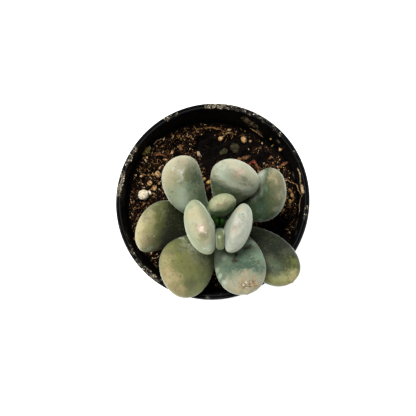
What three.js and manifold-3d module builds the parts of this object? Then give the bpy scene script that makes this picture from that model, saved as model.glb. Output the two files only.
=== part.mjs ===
// Potted blue haze pachyphytum: thick waxy leaves on a short stem, in a thin black nursery pot.
// Millimetres, +Z up. The origin is the centre of the pot's flat underside.
// Seen from above, +X points right and +Y points away from a viewer who leans over the pot.

import * as THREE from "three";
import { mergeVertices } from "three/addons/utils/BufferGeometryUtils.js";
import Module from "manifold-3d";

const wasm = await Module();
wasm.setup();

// Clearance between neighbouring solids, and how close two points count as one
const GAP = 0.3;
const MERGE_DISTANCE = 1e-4;

// Pot
const POT_HEIGHT = 57;
const RIM_RADIUS = 32.15;
const RIM_WIDTH = 1.65;
const RIM_OVAL = 0.0155; // share by which the thin rim is stretched along its long axis
const RIM_OVAL_DIRECTION = 71; // degrees from +X
const BEAD_WIDTH = 0.85; // outer bead of the rim, up to the groove
const GROOVE_DEPTH = 0.45;
const RIM_ROUND = 0.65;
const SHOULDER = 0.15; // how much lower the sides of the bead and the inner ridge lie
const LIP_DROP = 5.5;
const LIP_WALL = 0.65;
const LIP_DRAFT = 0.2; // the lip leans in by this much towards its lower edge
const LIP_ROOT = 1.6; // depth below the rim where the lip leaves the wall
const WALL = 0.8;
const WALL_TAPER = 0.158; // how far the wall runs in for each millimetre down
const FLOOR = 1.4;
const FOOT_ROUND = 0.8;
const FLOOR_FILLET = 1;
const POT_SIDES = 56;
const NOTCHES = 6;
const NOTCH_WIDTH = 7;
const NOTCH_HEIGHT = 3.6;
const NOTCH_REACH = 3.2; // how far a notch cuts into the floor

// Soil
const SOIL_TOP = 44;
const SOIL_SIDES = POT_SIDES;
const SOIL_RINGS = 9;
const CRUMB_HEIGHT = 0.55;
const CRUMB_SEED = 7;
const HOLLOW = { x: 1, y: 22.5, radius: 5, depth: 2.2 };
const STEM_HOLE_FLOOR = 31;
const GRAIN_PROUD = 0.35; // share of its radius by which a grain's middle stands above the soil

// Perlite, bark and other grains pressed into the top of the soil: place, radius and flattening
const GRAINS = [
  { x: -23.7, y: 4.7, radius: 1.9, flat: 0.8 },
  { x: -21.8, y: 6.6, radius: 1.2, flat: 0.7 },
  { x: -19.8, y: 8.2, radius: 1.1, flat: 0.7 },
  { x: -18.8, y: 11.8, radius: 1.0, flat: 0.8 },
  { x: -10.8, y: 20.0, radius: 1.7, flat: 0.6 },
  { x: -5.0, y: 18.8, radius: 1.0, flat: 0.7 },
  { x: -1.6, y: 9.2, radius: 1.1, flat: 0.8 },
  { x: 3.9, y: 24.2, radius: 1.7, flat: 0.6 },
  { x: 7.5, y: 21.9, radius: 2.1, flat: 0.7 },
  { x: 11.2, y: 23.6, radius: 1.3, flat: 0.9 },
  { x: 14.1, y: 15.1, radius: 1.6, flat: 0.6 },
  { x: 23.5, y: 0.3, radius: 1.2, flat: 0.7 },
  { x: 25.2, y: 3.4, radius: 1.7, flat: 0.7 },
];

// Stem: its axis leans as it rises from the soil
const STEM_RADIUS = 2.9;
const STEM_FOOT = 32;
const STEM_TOP = 66;
const STEM_NARROWS_AT = 58;
const STEM_NARROWING = 0.145; // radius lost for each millimetre above that height
const STEM_SIDES = 14;
const STEM_RING_STEP = 2.3;
const STEM_END_ROUND = 0.5;
const SCAR_DEPTH = 0.18; // ridges left where old leaves fell
const STEM_AXIS = { height: 50, x: 1.8, y: -5.5, leanX: 0.02, leanY: -0.21 };

// Leaf form, shared by all leaves
const LEAF_RINGS = 11;
const LEAF_SIDES = 16;
const CENTRE_STEPS = 60; // short steps that trace a leaf's centre line
const LEAF_WIDEST = 0.62; // share of the length where the blade is widest
const LEAF_THICKEST = 0.58;
const LEAF_NECK_WIDTH = 0.25; // share of the width left where the leaf meets the stem
const LEAF_NECK_THICKNESS = 0.42;
const LEAF_SWELL = 1.3;
const LEAF_HEEL = 0.05; // share of the length taken by the rounded heel
const LEAF_BLUNTNESS = 2.2;
const UPPER_FACE = 0.8; // the upper face is flatter than the lower one
const LOWER_FACE = 1.2;
const LEAF_POINT = 0.5; // small point at the tip
const LEAF_SEAT = 0.5; // clearance between a leaf and the stem

// Leaves, from the bottom of the stem to its top. Angles are in degrees.
// direction: where the leaf points on leaving the stem, from +X. turn: how far it turns on the way.
// seat: how far round the stem the leaf is seated from its direction. height: of its seat.
// rise and lift: slope of the leaf at the stem and at its tip. roll: turn about its own axis.
const LEAVES = [
  {
    name: "leaf_left", height: 51, direction: 185, seat: -17, turn: 24,
    rise: 7, lift: 70, roll: -47, length: 29.5, width: 18, thickness: 8.2,
  },
  {
    name: "leaf_lower_right", height: 55, direction: 327, seat: 1, turn: -21,
    rise: 17, lift: 26, roll: -7, length: 31, width: 15.5, thickness: 8.5,
  },
  {
    name: "leaf_right", height: 54.5, direction: 24, seat: 8, turn: 4,
    rise: 15, lift: 78, roll: -22, length: 27, width: 16.7, thickness: 8.3,
  },
  {
    name: "leaf_lower_left", height: 55.5, direction: 241, seat: -10, turn: -17,
    rise: 7, lift: 48, roll: -20, length: 27.5, width: 18.7, thickness: 9.5,
  },
  {
    name: "leaf_top", height: 58, direction: 69, seat: 11, turn: -23,
    rise: 32, lift: 86, roll: 15, length: 24, width: 15.7, thickness: 8.3,
  },
  {
    name: "leaf_bottom", height: 58.2, direction: 294, seat: 13, turn: -14,
    rise: 45, lift: 24, roll: 6, length: 28, width: 16, thickness: 8,
  },
  {
    name: "leaf_upper_left", height: 59, direction: 142, seat: 21, turn: -43,
    rise: 25, lift: 54, roll: 27, length: 26.5, width: 14.5, thickness: 8.6,
  },
  {
    name: "leaf_inner_left", height: 64, direction: 212, seat: -12, turn: 5,
    rise: 61, lift: 95, roll: -18, length: 20.5, width: 17.7, thickness: 8.6,
  },
  {
    name: "leaf_inner_right", height: 64.3, direction: 322, seat: 17, turn: 0,
    rise: 58, lift: 96, roll: 19, length: 19, width: 15.7, thickness: 7.3,
  },
  {
    name: "leaf_young_bottom", height: 66, direction: 271, seat: 0, turn: 0,
    rise: 57, lift: 83, roll: 0, length: 13.5, width: 2.4, thickness: 5.6,
  },
  {
    name: "leaf_young_top", height: 66, direction: 82, seat: -5, turn: 11,
    rise: 57, lift: 96, roll: 19, length: 11.5, width: 9.2, thickness: 6,
  },
];

// The growing tip: two tiny leaves, face to face, that are still one with the stem
const BUD_HEIGHT = 65;
const BUD_SEAT = 0.4;
const BUD_LEAF = { turn: 0, rise: 80, lift: 91, roll: 0, length: 5, width: 2.6, thickness: 1.8 };
const BUD_DIRECTIONS = [5, 185];

const POT_COLOUR = 0x121214;
const SOIL_COLOUR = 0x2a1a10;
const STEM_COLOUR = 0x6f7a4a;
const LEAF_COLOUR = 0x93a588;
const INNER_LEAF_COLOUR = 0xb4c0a8;
const INNER_LEAVES_ABOVE = 60; // height of the seat above which a leaf has the paler bloom

const radians = THREE.MathUtils.degToRad;
const FULL_TURN = 2 * Math.PI;

// A closed body through rings of points that run anticlockwise seen from above,
// listed from one pole to the other. Its faces point out where the rings rise.
function bodyThroughRings(startPole, rings, endPole) {
  const sides = rings[0].length;
  const points = [startPole, ...rings.flat(), endPole];
  const last = points.length - 1;
  const at = (ring, side) => 1 + ring * sides + (side % sides);
  const triangles = [];
  for (let side = 0; side < sides; side++) {
    triangles.push(0, at(0, side + 1), at(0, side));
    for (let ring = 0; ring < rings.length - 1; ring++) {
      triangles.push(at(ring, side), at(ring, side + 1), at(ring + 1, side + 1));
      triangles.push(at(ring, side), at(ring + 1, side + 1), at(ring + 1, side));
    }
    triangles.push(last, at(rings.length - 1, side), at(rings.length - 1, side + 1));
  }
  const geometry = new THREE.BufferGeometry().setFromPoints(points);
  geometry.setIndex(triangles);
  return geometry;
}

// A flat ring of points round a centre, with a radius for each angle
function ringAt(centre, sides, radiusAt) {
  const ring = [];
  for (let side = 0; side < sides; side++) {
    const angle = (side / sides) * FULL_TURN;
    const radius = radiusAt(angle);
    const x = centre.x + radius * Math.cos(angle);
    const y = centre.y + radius * Math.sin(angle);
    ring.push(new THREE.Vector3(x, y, centre.z));
  }
  return ring;
}

// Joining and cutting: geometry to solid and back
function solidFrom(geometry) {
  const bare = geometry.clone();
  bare.deleteAttribute("normal");
  bare.deleteAttribute("uv");
  const merged = mergeVertices(bare, MERGE_DISTANCE);
  const index = merged.index.array;
  const kept = [];
  for (let i = 0; i < index.length; i += 3) {
    const [a, b, c] = [index[i], index[i + 1], index[i + 2]];
    if (a !== b && b !== c && c !== a) kept.push(a, b, c);
  }
  const vertProperties = new Float32Array(merged.attributes.position.array);
  const triVerts = new Uint32Array(kept);
  return new wasm.Manifold(new wasm.Mesh({ numProp: 3, vertProperties, triVerts }));
}

function geometryFrom(solid) {
  const mesh = solid.getMesh();
  const geometry = new THREE.BufferGeometry();
  geometry.setAttribute("position", new THREE.BufferAttribute(mesh.vertProperties, 3));
  geometry.setIndex(new THREE.BufferAttribute(mesh.triVerts, 1));
  return geometry;
}

// The same small random numbers on every run
function seededRandom(seed) {
  let state = seed;
  return () => {
    state = (state * 1664525 + 1013904223) % 4294967296;
    return state / 4294967296;
  };
}

// How much wider the pot is at this angle and height than a round one
function ovalAt(angle, height) {
  const share = (height / POT_HEIGHT) ** 2;
  return 1 + RIM_OVAL * share * Math.cos(2 * (angle - radians(RIM_OVAL_DIRECTION)));
}

function innerWallRadius(height) {
  return RIM_RADIUS - RIM_WIDTH - (POT_HEIGHT - height) * WALL_TAPER;
}

// Half of the pot's section, from the middle of the underside to the middle of the floor
function potProfile() {
  const outside = (height) => innerWallRadius(height) + WALL;
  const inside = RIM_RADIUS - RIM_WIDTH;
  const groove = RIM_RADIUS - BEAD_WIDTH;
  const lipInside = RIM_RADIUS - LIP_WALL;
  const lipBottom = POT_HEIGHT - LIP_DROP;
  const section = [
    [0, 0],
    [outside(0) - FOOT_ROUND, 0],
    [outside(FOOT_ROUND), FOOT_ROUND],
    [outside(NOTCH_HEIGHT), NOTCH_HEIGHT],
    [outside(POT_HEIGHT - LIP_ROOT), POT_HEIGHT - LIP_ROOT],
    [lipInside, POT_HEIGHT - LIP_ROOT],
    [lipInside - LIP_DRAFT, lipBottom],
    [RIM_RADIUS - LIP_DRAFT, lipBottom],
    [RIM_RADIUS, POT_HEIGHT - RIM_ROUND],
    [RIM_RADIUS - 0.3 * RIM_ROUND, POT_HEIGHT - SHOULDER],
    [RIM_RADIUS - BEAD_WIDTH / 2, POT_HEIGHT],
    [groove + SHOULDER, POT_HEIGHT - SHOULDER],
    [groove, POT_HEIGHT - GROOVE_DEPTH],
    [groove - SHOULDER, POT_HEIGHT - SHOULDER],
    [inside + 2 * SHOULDER, POT_HEIGHT - SHOULDER],
    [inside, POT_HEIGHT - RIM_ROUND],
    [innerWallRadius(FLOOR + FLOOR_FILLET), FLOOR + FLOOR_FILLET],
    [innerWallRadius(FLOOR) - FLOOR_FILLET, FLOOR],
    [0, FLOOR],
  ];
  return section.map(([radius, height]) => new THREE.Vector2(radius, height));
}

function potGeometry() {
  const geometry = new THREE.LatheGeometry(potProfile(), POT_SIDES).rotateX(Math.PI / 2);
  const position = geometry.attributes.position;
  for (let i = 0; i < position.count; i++) {
    const [x, y, z] = [position.getX(i), position.getY(i), position.getZ(i)];
    const oval = ovalAt(Math.atan2(y, x), z);
    position.setXY(i, x * oval, y * oval);
  }
  let pot = solidFrom(geometry);
  const footRadius = innerWallRadius(0) + WALL;
  for (let notch = 0; notch < NOTCHES; notch++) {
    const cutter = new THREE.BoxGeometry(2 * NOTCH_REACH, NOTCH_WIDTH, 2 * NOTCH_HEIGHT)
      .translate(footRadius, 0, 0)
      .rotateZ((notch / NOTCHES) * FULL_TURN + radians(RIM_OVAL_DIRECTION));
    pot = pot.subtract(solidFrom(cutter));
  }
  return geometryFrom(pot);
}

function stemAxis(height) {
  const above = height - STEM_AXIS.height;
  const x = STEM_AXIS.x + STEM_AXIS.leanX * above;
  const y = STEM_AXIS.y + STEM_AXIS.leanY * above;
  return new THREE.Vector3(x, y, height);
}

function stemRadius(height) {
  return STEM_RADIUS - STEM_NARROWING * Math.max(0, height - STEM_NARROWS_AT);
}

// Height of the soil's crumbled top, with the hollow beside the wall
function soilHeight(x, y) {
  const waves = Math.sin(0.9 * x + 1.3) * Math.cos(0.8 * y) + 0.6 * Math.sin(1.7 * y - 0.6 * x);
  const away = Math.hypot(x - HOLLOW.x, y - HOLLOW.y) / HOLLOW.radius;
  return SOIL_TOP + CRUMB_HEIGHT * waves - HOLLOW.depth * Math.exp(-away * away);
}

function soilGeometry() {
  const random = seededRandom(CRUMB_SEED);
  const wallAt = (height) => (angle) => (innerWallRadius(height) - GAP) * ovalAt(angle, height);
  const holeRadius = () => STEM_RADIUS + GAP;
  const floor = FLOOR + GAP;
  const middleAt = (height) => new THREE.Vector3(0, 0, height);
  const outer = ringAt(middleAt(SOIL_TOP), SOIL_SIDES, wallAt(SOIL_TOP));
  const hole = ringAt(stemAxis(SOIL_TOP), SOIL_SIDES, holeRadius);
  const rings = [
    ringAt(middleAt(floor), SOIL_SIDES, () => innerWallRadius(floor) - GAP - FLOOR_FILLET),
    ringAt(middleAt(floor + FLOOR_FILLET), SOIL_SIDES, wallAt(floor + FLOOR_FILLET)),
    outer,
  ];
  for (let ring = 1; ring < SOIL_RINGS; ring++) {
    const points = outer.map((point, side) => {
      const placed = point.clone().lerp(hole[side], ring / SOIL_RINGS);
      const crumb = CRUMB_HEIGHT * (random() - 0.5);
      return placed.setZ(soilHeight(placed.x, placed.y) + crumb);
    });
    rings.push(points);
  }
  rings.push(hole, ringAt(stemAxis(STEM_HOLE_FLOOR), SOIL_SIDES, holeRadius));
  let soil = solidFrom(bodyThroughRings(middleAt(floor), rings, stemAxis(STEM_HOLE_FLOOR)));
  for (const { x, y, radius, flat } of GRAINS) {
    const lump = new THREE.IcosahedronGeometry(radius, 1)
      .rotateZ(random() * FULL_TURN)
      .scale(1, 1, flat)
      .translate(x, y, soilHeight(x, y) + GRAIN_PROUD * radius);
    soil = soil.add(solidFrom(lump));
  }
  return geometryFrom(soil);
}

// Width or thickness of a leaf along its length, as a share of the largest
function leafSwell(along, widest, neck) {
  if (along < widest) {
    const heel = Math.sqrt(1 - Math.max(0, 1 - along / LEAF_HEEL) ** 2);
    return heel * (neck + (1 - neck) * Math.sin((Math.PI / 2) * (along / widest)) ** LEAF_SWELL);
  }
  const past = (along - widest) / (1 - widest);
  return (1 - past ** LEAF_BLUNTNESS) ** (1 / LEAF_BLUNTNESS);
}

function directionAt(leaf, along) {
  const slope = radians(leaf.rise + (leaf.lift - leaf.rise) * along);
  const heading = radians(leaf.direction + leaf.turn * along);
  const forward = new THREE.Vector3(
    Math.cos(slope) * Math.cos(heading),
    Math.cos(slope) * Math.sin(heading),
    Math.sin(slope),
  );
  const upper = new THREE.Vector3(
    -Math.sin(slope) * Math.cos(heading),
    -Math.sin(slope) * Math.sin(heading),
    Math.cos(slope),
  );
  const across = upper.clone().cross(forward);
  const roll = radians(leaf.roll);
  return {
    forward,
    across: across.clone().multiplyScalar(Math.cos(roll)).addScaledVector(upper, Math.sin(roll)),
    upper: upper.clone().multiplyScalar(Math.cos(roll)).addScaledVector(across, -Math.sin(roll)),
  };
}

// A point on the leaf's curved centre line, found by short steps from its seat
function centreLine(leaf, seat) {
  const line = [seat.clone()];
  for (let step = 0; step < CENTRE_STEPS; step++) {
    const { forward } = directionAt(leaf, (step + 0.5) / CENTRE_STEPS);
    line.push(line[step].clone().addScaledVector(forward, leaf.length / CENTRE_STEPS));
  }
  return (along) => {
    const place = along * CENTRE_STEPS;
    const before = Math.min(Math.floor(place), CENTRE_STEPS - 1);
    return line[before].clone().lerp(line[before + 1], place - before);
  };
}

function leafGeometry(leaf, seat) {
  const centreAt = centreLine(leaf, seat);
  const rings = [];
  const places = [LEAF_HEEL / 4, LEAF_HEEL];
  for (let ring = 1; ring < LEAF_RINGS; ring++) {
    places.push(Math.sin((Math.PI / 2) * (ring / LEAF_RINGS)));
  }
  for (const along of places) {
    const { across, upper } = directionAt(leaf, along);
    const halfWidth = (leaf.width / 2) * leafSwell(along, LEAF_WIDEST, LEAF_NECK_WIDTH);
    const halfDepth =
      (leaf.thickness / 2) * leafSwell(along, LEAF_THICKEST, LEAF_NECK_THICKNESS);
    const points = [];
    for (let side = 0; side < LEAF_SIDES; side++) {
      const angle = (side / LEAF_SIDES) * FULL_TURN;
      const face = Math.sin(angle) > 0 ? UPPER_FACE : LOWER_FACE;
      const point = centreAt(along)
        .addScaledVector(across, halfWidth * Math.cos(angle))
        .addScaledVector(upper, halfDepth * face * Math.sin(angle));
      points.push(point);
    }
    rings.push(points);
  }
  const tip = centreAt(1).addScaledVector(directionAt(leaf, 1).forward, LEAF_POINT);
  return bodyThroughRings(seat, rings, tip);
}

// A point at this height, direction and distance from the stem's axis
function besideStem(height, direction, reach) {
  const angle = radians(direction);
  const out = new THREE.Vector3(Math.cos(angle), Math.sin(angle), 0);
  return stemAxis(height).addScaledVector(out, reach);
}

// Where a leaf is seated, just clear of the stem
function seatOf(leaf) {
  const reach = stemRadius(leaf.height) + LEAF_SEAT;
  return besideStem(leaf.height, leaf.direction + leaf.seat, reach);
}

function stemGeometry() {
  const rings = [];
  for (let height = STEM_FOOT; height <= STEM_TOP; height += STEM_RING_STEP) {
    const scar = rings.length % 2 === 0 ? 0 : SCAR_DEPTH;
    const radius = stemRadius(height) - scar;
    rings.push(ringAt(stemAxis(height), STEM_SIDES, () => radius));
  }
  const foot = stemAxis(STEM_FOOT - STEM_END_ROUND);
  const top = stemAxis(STEM_TOP + STEM_END_ROUND);
  let stem = solidFrom(bodyThroughRings(foot, rings, top));
  for (const direction of BUD_DIRECTIONS) {
    const budLeaf = { ...BUD_LEAF, direction };
    const seat = besideStem(BUD_HEIGHT, direction, BUD_SEAT);
    stem = stem.add(solidFrom(leafGeometry(budLeaf, seat)));
  }
  return geometryFrom(stem);
}

function piece(name, geometry, color, roughness) {
  const material = new THREE.MeshStandardMaterial({ color, roughness, metalness: 0 });
  const mesh = new THREE.Mesh(geometry, material);
  mesh.name = name;
  return mesh;
}

const plant = new THREE.Group();
plant.add(piece("pot", potGeometry(), POT_COLOUR, 0.45));
plant.add(piece("soil", soilGeometry(), SOIL_COLOUR, 0.95));
plant.add(piece("stem", stemGeometry(), STEM_COLOUR, 0.7));
for (const leaf of LEAVES) {
  const colour = leaf.height > INNER_LEAVES_ABOVE ? INNER_LEAF_COLOUR : LEAF_COLOUR;
  plant.add(piece(leaf.name, leafGeometry(leaf, seatOf(leaf)), colour, 0.6));
}

export default plant;
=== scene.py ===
"""A potted blue haze pachyphytum: eleven fat waxy leaves on a short stem, in a thin black nursery pot.

Metres, +Z up, with the origin under the middle of the pot. The sections follow the plant as it is
put together: pot, lime on the rim, soil, what lies on the soil, stem, leaves, and then the studio.
"""

import math

import bmesh
import bpy
from mathutils import Matrix, Vector, noise
from mathutils.bvhtree import BVHTree


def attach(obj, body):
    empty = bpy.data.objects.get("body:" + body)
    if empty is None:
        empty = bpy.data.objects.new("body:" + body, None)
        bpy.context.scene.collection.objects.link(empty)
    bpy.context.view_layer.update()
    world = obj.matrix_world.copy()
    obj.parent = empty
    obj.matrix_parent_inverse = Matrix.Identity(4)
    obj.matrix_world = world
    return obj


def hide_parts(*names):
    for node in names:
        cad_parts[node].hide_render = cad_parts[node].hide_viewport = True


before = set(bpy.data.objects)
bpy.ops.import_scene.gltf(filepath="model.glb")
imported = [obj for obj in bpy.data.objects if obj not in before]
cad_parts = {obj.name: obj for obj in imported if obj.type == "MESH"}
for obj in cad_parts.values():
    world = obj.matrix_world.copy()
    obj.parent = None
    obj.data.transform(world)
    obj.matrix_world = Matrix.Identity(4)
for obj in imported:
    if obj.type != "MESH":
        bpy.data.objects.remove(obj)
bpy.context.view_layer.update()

# Pot
# One moulded piece of thin black plastic, with its rim turned out and down into a lip. A groove runs
# round the top of the rim between two rounded beads, and notches at the foot let the water out.
MM = 0.001
FULL_TURN = 2 * math.pi
POT_HEIGHT = 57 * MM
RIM_RADIUS = 32.14 * MM
RIM_WIDTH = 1.65 * MM
RIM_OVAL = 0.0155  # share by which the thin rim is stretched along its long axis
RIM_OVAL_DIRECTION = math.radians(71)
BEAD_WIDTH = 0.85 * MM
BEAD_HEIGHT = 0.65 * MM
GROOVE_DEPTH = 0.45 * MM
SHOULDER = 0.15 * MM  # how much lower the inner bead stands than the outer one
BEAD_STEPS = 8
LIP_DROP = 5.5 * MM
LIP_WALL = 0.65 * MM
LIP_DRAFT = 0.2 * MM
LIP_ROOT = 1.6 * MM  # depth below the rim where the lip leaves the wall
WALL = 0.8 * MM
WALL_TAPER = 0.158
FLOOR = 1.4 * MM
FOOT_ROUND = 0.8 * MM
FLOOR_FILLET = 1 * MM
POT_SIDES = 224
NOTCHES = 6
NOTCH_WIDTH = 7 * MM
NOTCH_HEIGHT = 3.6 * MM
NOTCH_REACH = 3.2 * MM
EDGE_ROUND = 0.12 * MM
EDGE_ANGLE = math.radians(35)  # edges that turn by more than this are softened
PLASTIC = (0.0028, 0.0028, 0.0034)
PLASTIC_DUSTY = (0.0065, 0.0065, 0.0065)
LIME_FILM = (0.34, 0.31, 0.24)
DRIED_MUD = (0.42, 0.31, 0.19)
LIMY_DEPTH = 1.6 * MM  # how far below the top of the rim the lime reaches
LIMY_STRETCHES = [  # from and to in degrees round the rim, and how thick the lime lies there
    (163, 176, 0.8), (176, 182, 0.3), (146, 162, 0.6), (113, 119, 0.55), (99, 109, 0.2), (83, 93, 0.7),
    (66, 82, 0.35), (44, 62, 0.42), (18, 30, 0.2), (-11, -5, 0.45), (198, 219, 0.3), (221, 238, 0.5),
    (267, 273, 0.45), (283, 330, 0.12),
]
LIME_FADE = math.radians(3)
LIME_PATCH = 1.1 * MM
LIME_SPREAD = 1.1  # how much less broken the lime is where it is thick
LIME_GAPS = 0.45  # how much of the rim the gaps between its patches take
LIME_EDGE = 2.5  # how sharply a patch ends
MUD_SMEARS = [  # direction in degrees, height and size in mm, on the inner wall
    (68.5, 51.6, 1.5), (65.5, 51.0, 1.9), (62.0, 50.2, 1.6), (58.5, 47.0, 1.3), (202.0, 55.6, 1.1),
    (44.0, 52.0, 1.0), (20.0, 47.0, 1.3), (-12.0, 48.0, 1.4), (-20.0, 52.0, 0.9),
]


class Wire:
    """An output of a node. Arithmetic on it adds the node that does that sum."""

    def __init__(self, tree, socket):
        self.tree = tree
        self.socket = socket

    def maths(self, operation, *others):
        return add(self.tree, "ShaderNodeMath", self, *others, operation=operation)

    def vectors(self, operation, *others, output=0):
        return add(self.tree, "ShaderNodeVectorMath", self, *others, output=output, operation=operation)

    def is_vector(self):
        return self.socket.type == "VECTOR"

    def __add__(self, other):
        return self.vectors("ADD", other) if self.is_vector() else self.maths("ADD", other)

    def __sub__(self, other):
        return self.vectors("SUBTRACT", other) if self.is_vector() else self.maths("SUBTRACT", other)

    def __rsub__(self, other):
        return add(self.tree, "ShaderNodeMath", other, self, operation="SUBTRACT")

    def __mul__(self, other):
        if self.is_vector():
            return self.vectors("SCALE", other)
        return self.maths("MULTIPLY", other)

    def __truediv__(self, other):
        return self.maths("DIVIDE", other)

    def __rtruediv__(self, other):
        return add(self.tree, "ShaderNodeMath", other, self, operation="DIVIDE")

    def __pow__(self, other):
        return self.maths("POWER", other)

    __radd__ = __add__
    __rmul__ = __mul__


def add(tree, kind, *values, output=0, **settings):
    """Adds a node with its settings, and with values or wires on its sockets in order, None for neither."""
    made = tree.nodes.new(kind)
    for setting, value in settings.items():
        setattr(made, setting, value)
    sockets = [socket for socket in made.inputs if socket.enabled]
    for socket, value in zip(sockets, values):
        if isinstance(value, Wire):
            tree.links.new(value.socket, socket)
        elif value is not None:
            socket.default_value = value
    return Wire(tree, [socket for socket in made.outputs if socket.enabled][output])


def swirl(tree, place, size):
    """A direction that changes from place to place in swirls of this size, each way from -1 to 1."""
    cloud = add(tree, "ShaderNodeTexNoise", place, 1 / size, 2.0, output=1, noise_dimensions="3D")
    return cloud.vectors("SUBTRACT", (0.5, 0.5, 0.5)) * 2


class Finish:
    """A material being mixed: its layers are added from the bottom up."""

    def __init__(self, name, colour, roughness, **constants):
        self.material = bpy.data.materials.new(name)
        self.material.use_nodes = True
        self.tree = self.material.node_tree
        self.shader = self.tree.nodes["Principled BSDF"]
        for socket, value in constants.items():
            title = socket.replace("_", " ").title().replace("Ior", "IOR")
            self.shader.inputs[title].default_value = value
        self.place = add(self.tree, "ShaderNodeTexCoord", output=3)
        self.colour = (*colour, 1)
        self.roughness = roughness

    def speckle(self, size, detail=3.0, coarseness=0.55, warp=0.0, shift=0.0):
        """Cloudy noise from 0 to 1, with patches of about this size."""
        place = self.place + (shift, shift, shift) if shift else self.place
        return add(
            self.tree, "ShaderNodeTexNoise", place, 1 / size, detail, coarseness, None, warp
        )

    def ramp(self, value, low, high, start=0.0, end=1.0):
        """Runs smoothly from start to end as the value goes from low to high."""
        return add(
            self.tree, "ShaderNodeMapRange", value, low, high, start, end, interpolation_type="SMOOTHSTEP"
        )

    def attribute(self, name):
        return add(self.tree, "ShaderNodeAttribute", output=2, attribute_name=name)

    def wander(self, *sizes):
        """A direction that changes from place to place, in swirls of these sizes."""
        total = swirl(self.tree, self.place, sizes[0])
        for size in sizes[1:]:
            total = total + swirl(self.tree, self.place, size)
        return total

    def patch(self, middle, reach, wander, ragged=1.0, soft=0.8):
        """1 round a point, falling to 0 at about this reach, pulled out of round by a wander."""
        moved = self.place + wander * (reach * ragged)
        away = moved.vectors("DISTANCE", tuple(middle)) / reach
        return self.ramp(away, 1 + soft / 3, 1 - soft)

    def coat(self, colour, cover, roughness=None):
        """Covers what is there with another colour, as far as cover says."""
        top = (*colour, 1)
        self.colour = add(self.tree, "ShaderNodeMix", cover, self.colour, top, data_type="RGBA")
        if roughness is not None:
            self.roughness = add(
                self.tree, "ShaderNodeMix", cover, self.roughness, roughness, data_type="FLOAT"
            )

    def relief(self, height, depth, strength=1.0):
        bump = add(self.tree, "ShaderNodeBump", strength, depth, None, height)
        self.tree.links.new(bump.socket, self.shader.inputs["Normal"])

    def done(self):
        for socket, value in (("Base Color", self.colour), ("Roughness", self.roughness)):
            if isinstance(value, Wire):
                self.tree.links.new(value.socket, self.shader.inputs[socket])
            else:
                self.shader.inputs[socket].default_value = value
        return self.material


def oval_at(angle, height):
    share = (height / POT_HEIGHT) ** 2
    return 1 + RIM_OVAL * share * math.cos(2 * (angle - RIM_OVAL_DIRECTION))


def inner_wall_radius(height):
    return RIM_RADIUS - RIM_WIDTH - (POT_HEIGHT - height) * WALL_TAPER


def bead(outer, inner, foot, rise):
    """A rounded bead of the rim, from its outer side over the top to its inner side."""
    middle = (outer + inner) / 2
    half = (outer - inner) / 2
    turns = [math.pi * step / BEAD_STEPS for step in range(BEAD_STEPS + 1)]
    return [(middle + half * math.cos(turn), foot + rise * math.sin(turn)) for turn in turns]


def pot_section():
    """The pot's section, from the middle of its underside round to the middle of its floor."""
    groove = RIM_RADIUS - BEAD_WIDTH
    lip_inside = RIM_RADIUS - LIP_WALL
    lip_bottom = POT_HEIGHT - LIP_DROP
    groove_floor = POT_HEIGHT - GROOVE_DEPTH
    inner_bead = bead(groove, RIM_RADIUS - RIM_WIDTH, groove_floor, GROOVE_DEPTH - SHOULDER)
    wall_top = POT_HEIGHT - LIP_ROOT
    return [
        (0, 0),
        (inner_wall_radius(0) + WALL - FOOT_ROUND, 0),
        (inner_wall_radius(FOOT_ROUND) + WALL, FOOT_ROUND),
        (inner_wall_radius(wall_top) + WALL, wall_top),
        (lip_inside, wall_top),
        (lip_inside - LIP_DRAFT, lip_bottom),
        (RIM_RADIUS - LIP_DRAFT, lip_bottom),
        *bead(RIM_RADIUS, groove, POT_HEIGHT - BEAD_HEIGHT, BEAD_HEIGHT)[:-1],
        (groove, groove_floor),
        *inner_bead[1:],
        (inner_wall_radius(FLOOR + FLOOR_FILLET), FLOOR + FLOOR_FILLET),
        (inner_wall_radius(FLOOR) - FLOOR_FILLET, FLOOR),
        (0, FLOOR),
    ]


def level_ring(middle, radius_at, sides=POT_SIDES):
    """Points round a middle, anticlockwise from above. Their radius may depend on the direction."""
    ring = []
    for side in range(sides):
        turn = FULL_TURN * side / sides
        radius = radius_at(turn)
        ring.append(middle + Vector((radius * math.cos(turn), radius * math.sin(turn), 0)))
    return ring


def rings_mesh(name, first, rings, last, smooth_below=40):
    """A closed mesh from a first point through rings of points, anticlockwise from above, to a last one."""
    sides = len(rings[0])
    points = [first, *(point for ring in rings for point in ring), last]
    faces = []
    for side in range(sides):
        after = (side + 1) % sides
        faces.append((0, 1 + after, 1 + side))
        for ring in range(len(rings) - 1):
            low, high = 1 + ring * sides, 1 + (ring + 1) * sides
            faces.append((low + side, low + after, high + after, high + side))
        top = 1 + (len(rings) - 1) * sides
        faces.append((len(points) - 1, top + side, top + after))
    mesh = bpy.data.meshes.new(name)
    mesh.from_pydata(points, [], faces)
    mesh.shade_smooth()
    mesh.set_sharp_from_angle(angle=math.radians(smooth_below))
    return mesh


def show(name, mesh, material=None):
    """Puts a mesh into the scene as an object at the origin."""
    shown = bpy.data.objects.new(name, mesh)
    bpy.context.collection.objects.link(shown)
    if material:
        mesh.materials.clear()
        mesh.materials.append(material)
    return shown


def settled(shown, smooth_below=None):
    """Turns an object with modifiers into the plain mesh that they make."""
    graph = bpy.context.evaluated_depsgraph_get()
    mesh = bpy.data.meshes.new_from_object(
        shown.evaluated_get(graph), preserve_all_data_layers=True, depsgraph=graph
    )
    shown.modifiers.clear()
    shown.data = mesh
    if smooth_below:
        mesh.shade_smooth()
        mesh.set_sharp_from_angle(angle=math.radians(smooth_below))
    return shown


def inside_wall(direction, height):
    """The point of the inner wall in this direction, at this height."""
    radius = inner_wall_radius(height) * oval_at(direction, height)
    return Vector((radius * math.cos(direction), radius * math.sin(direction), height))


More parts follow.
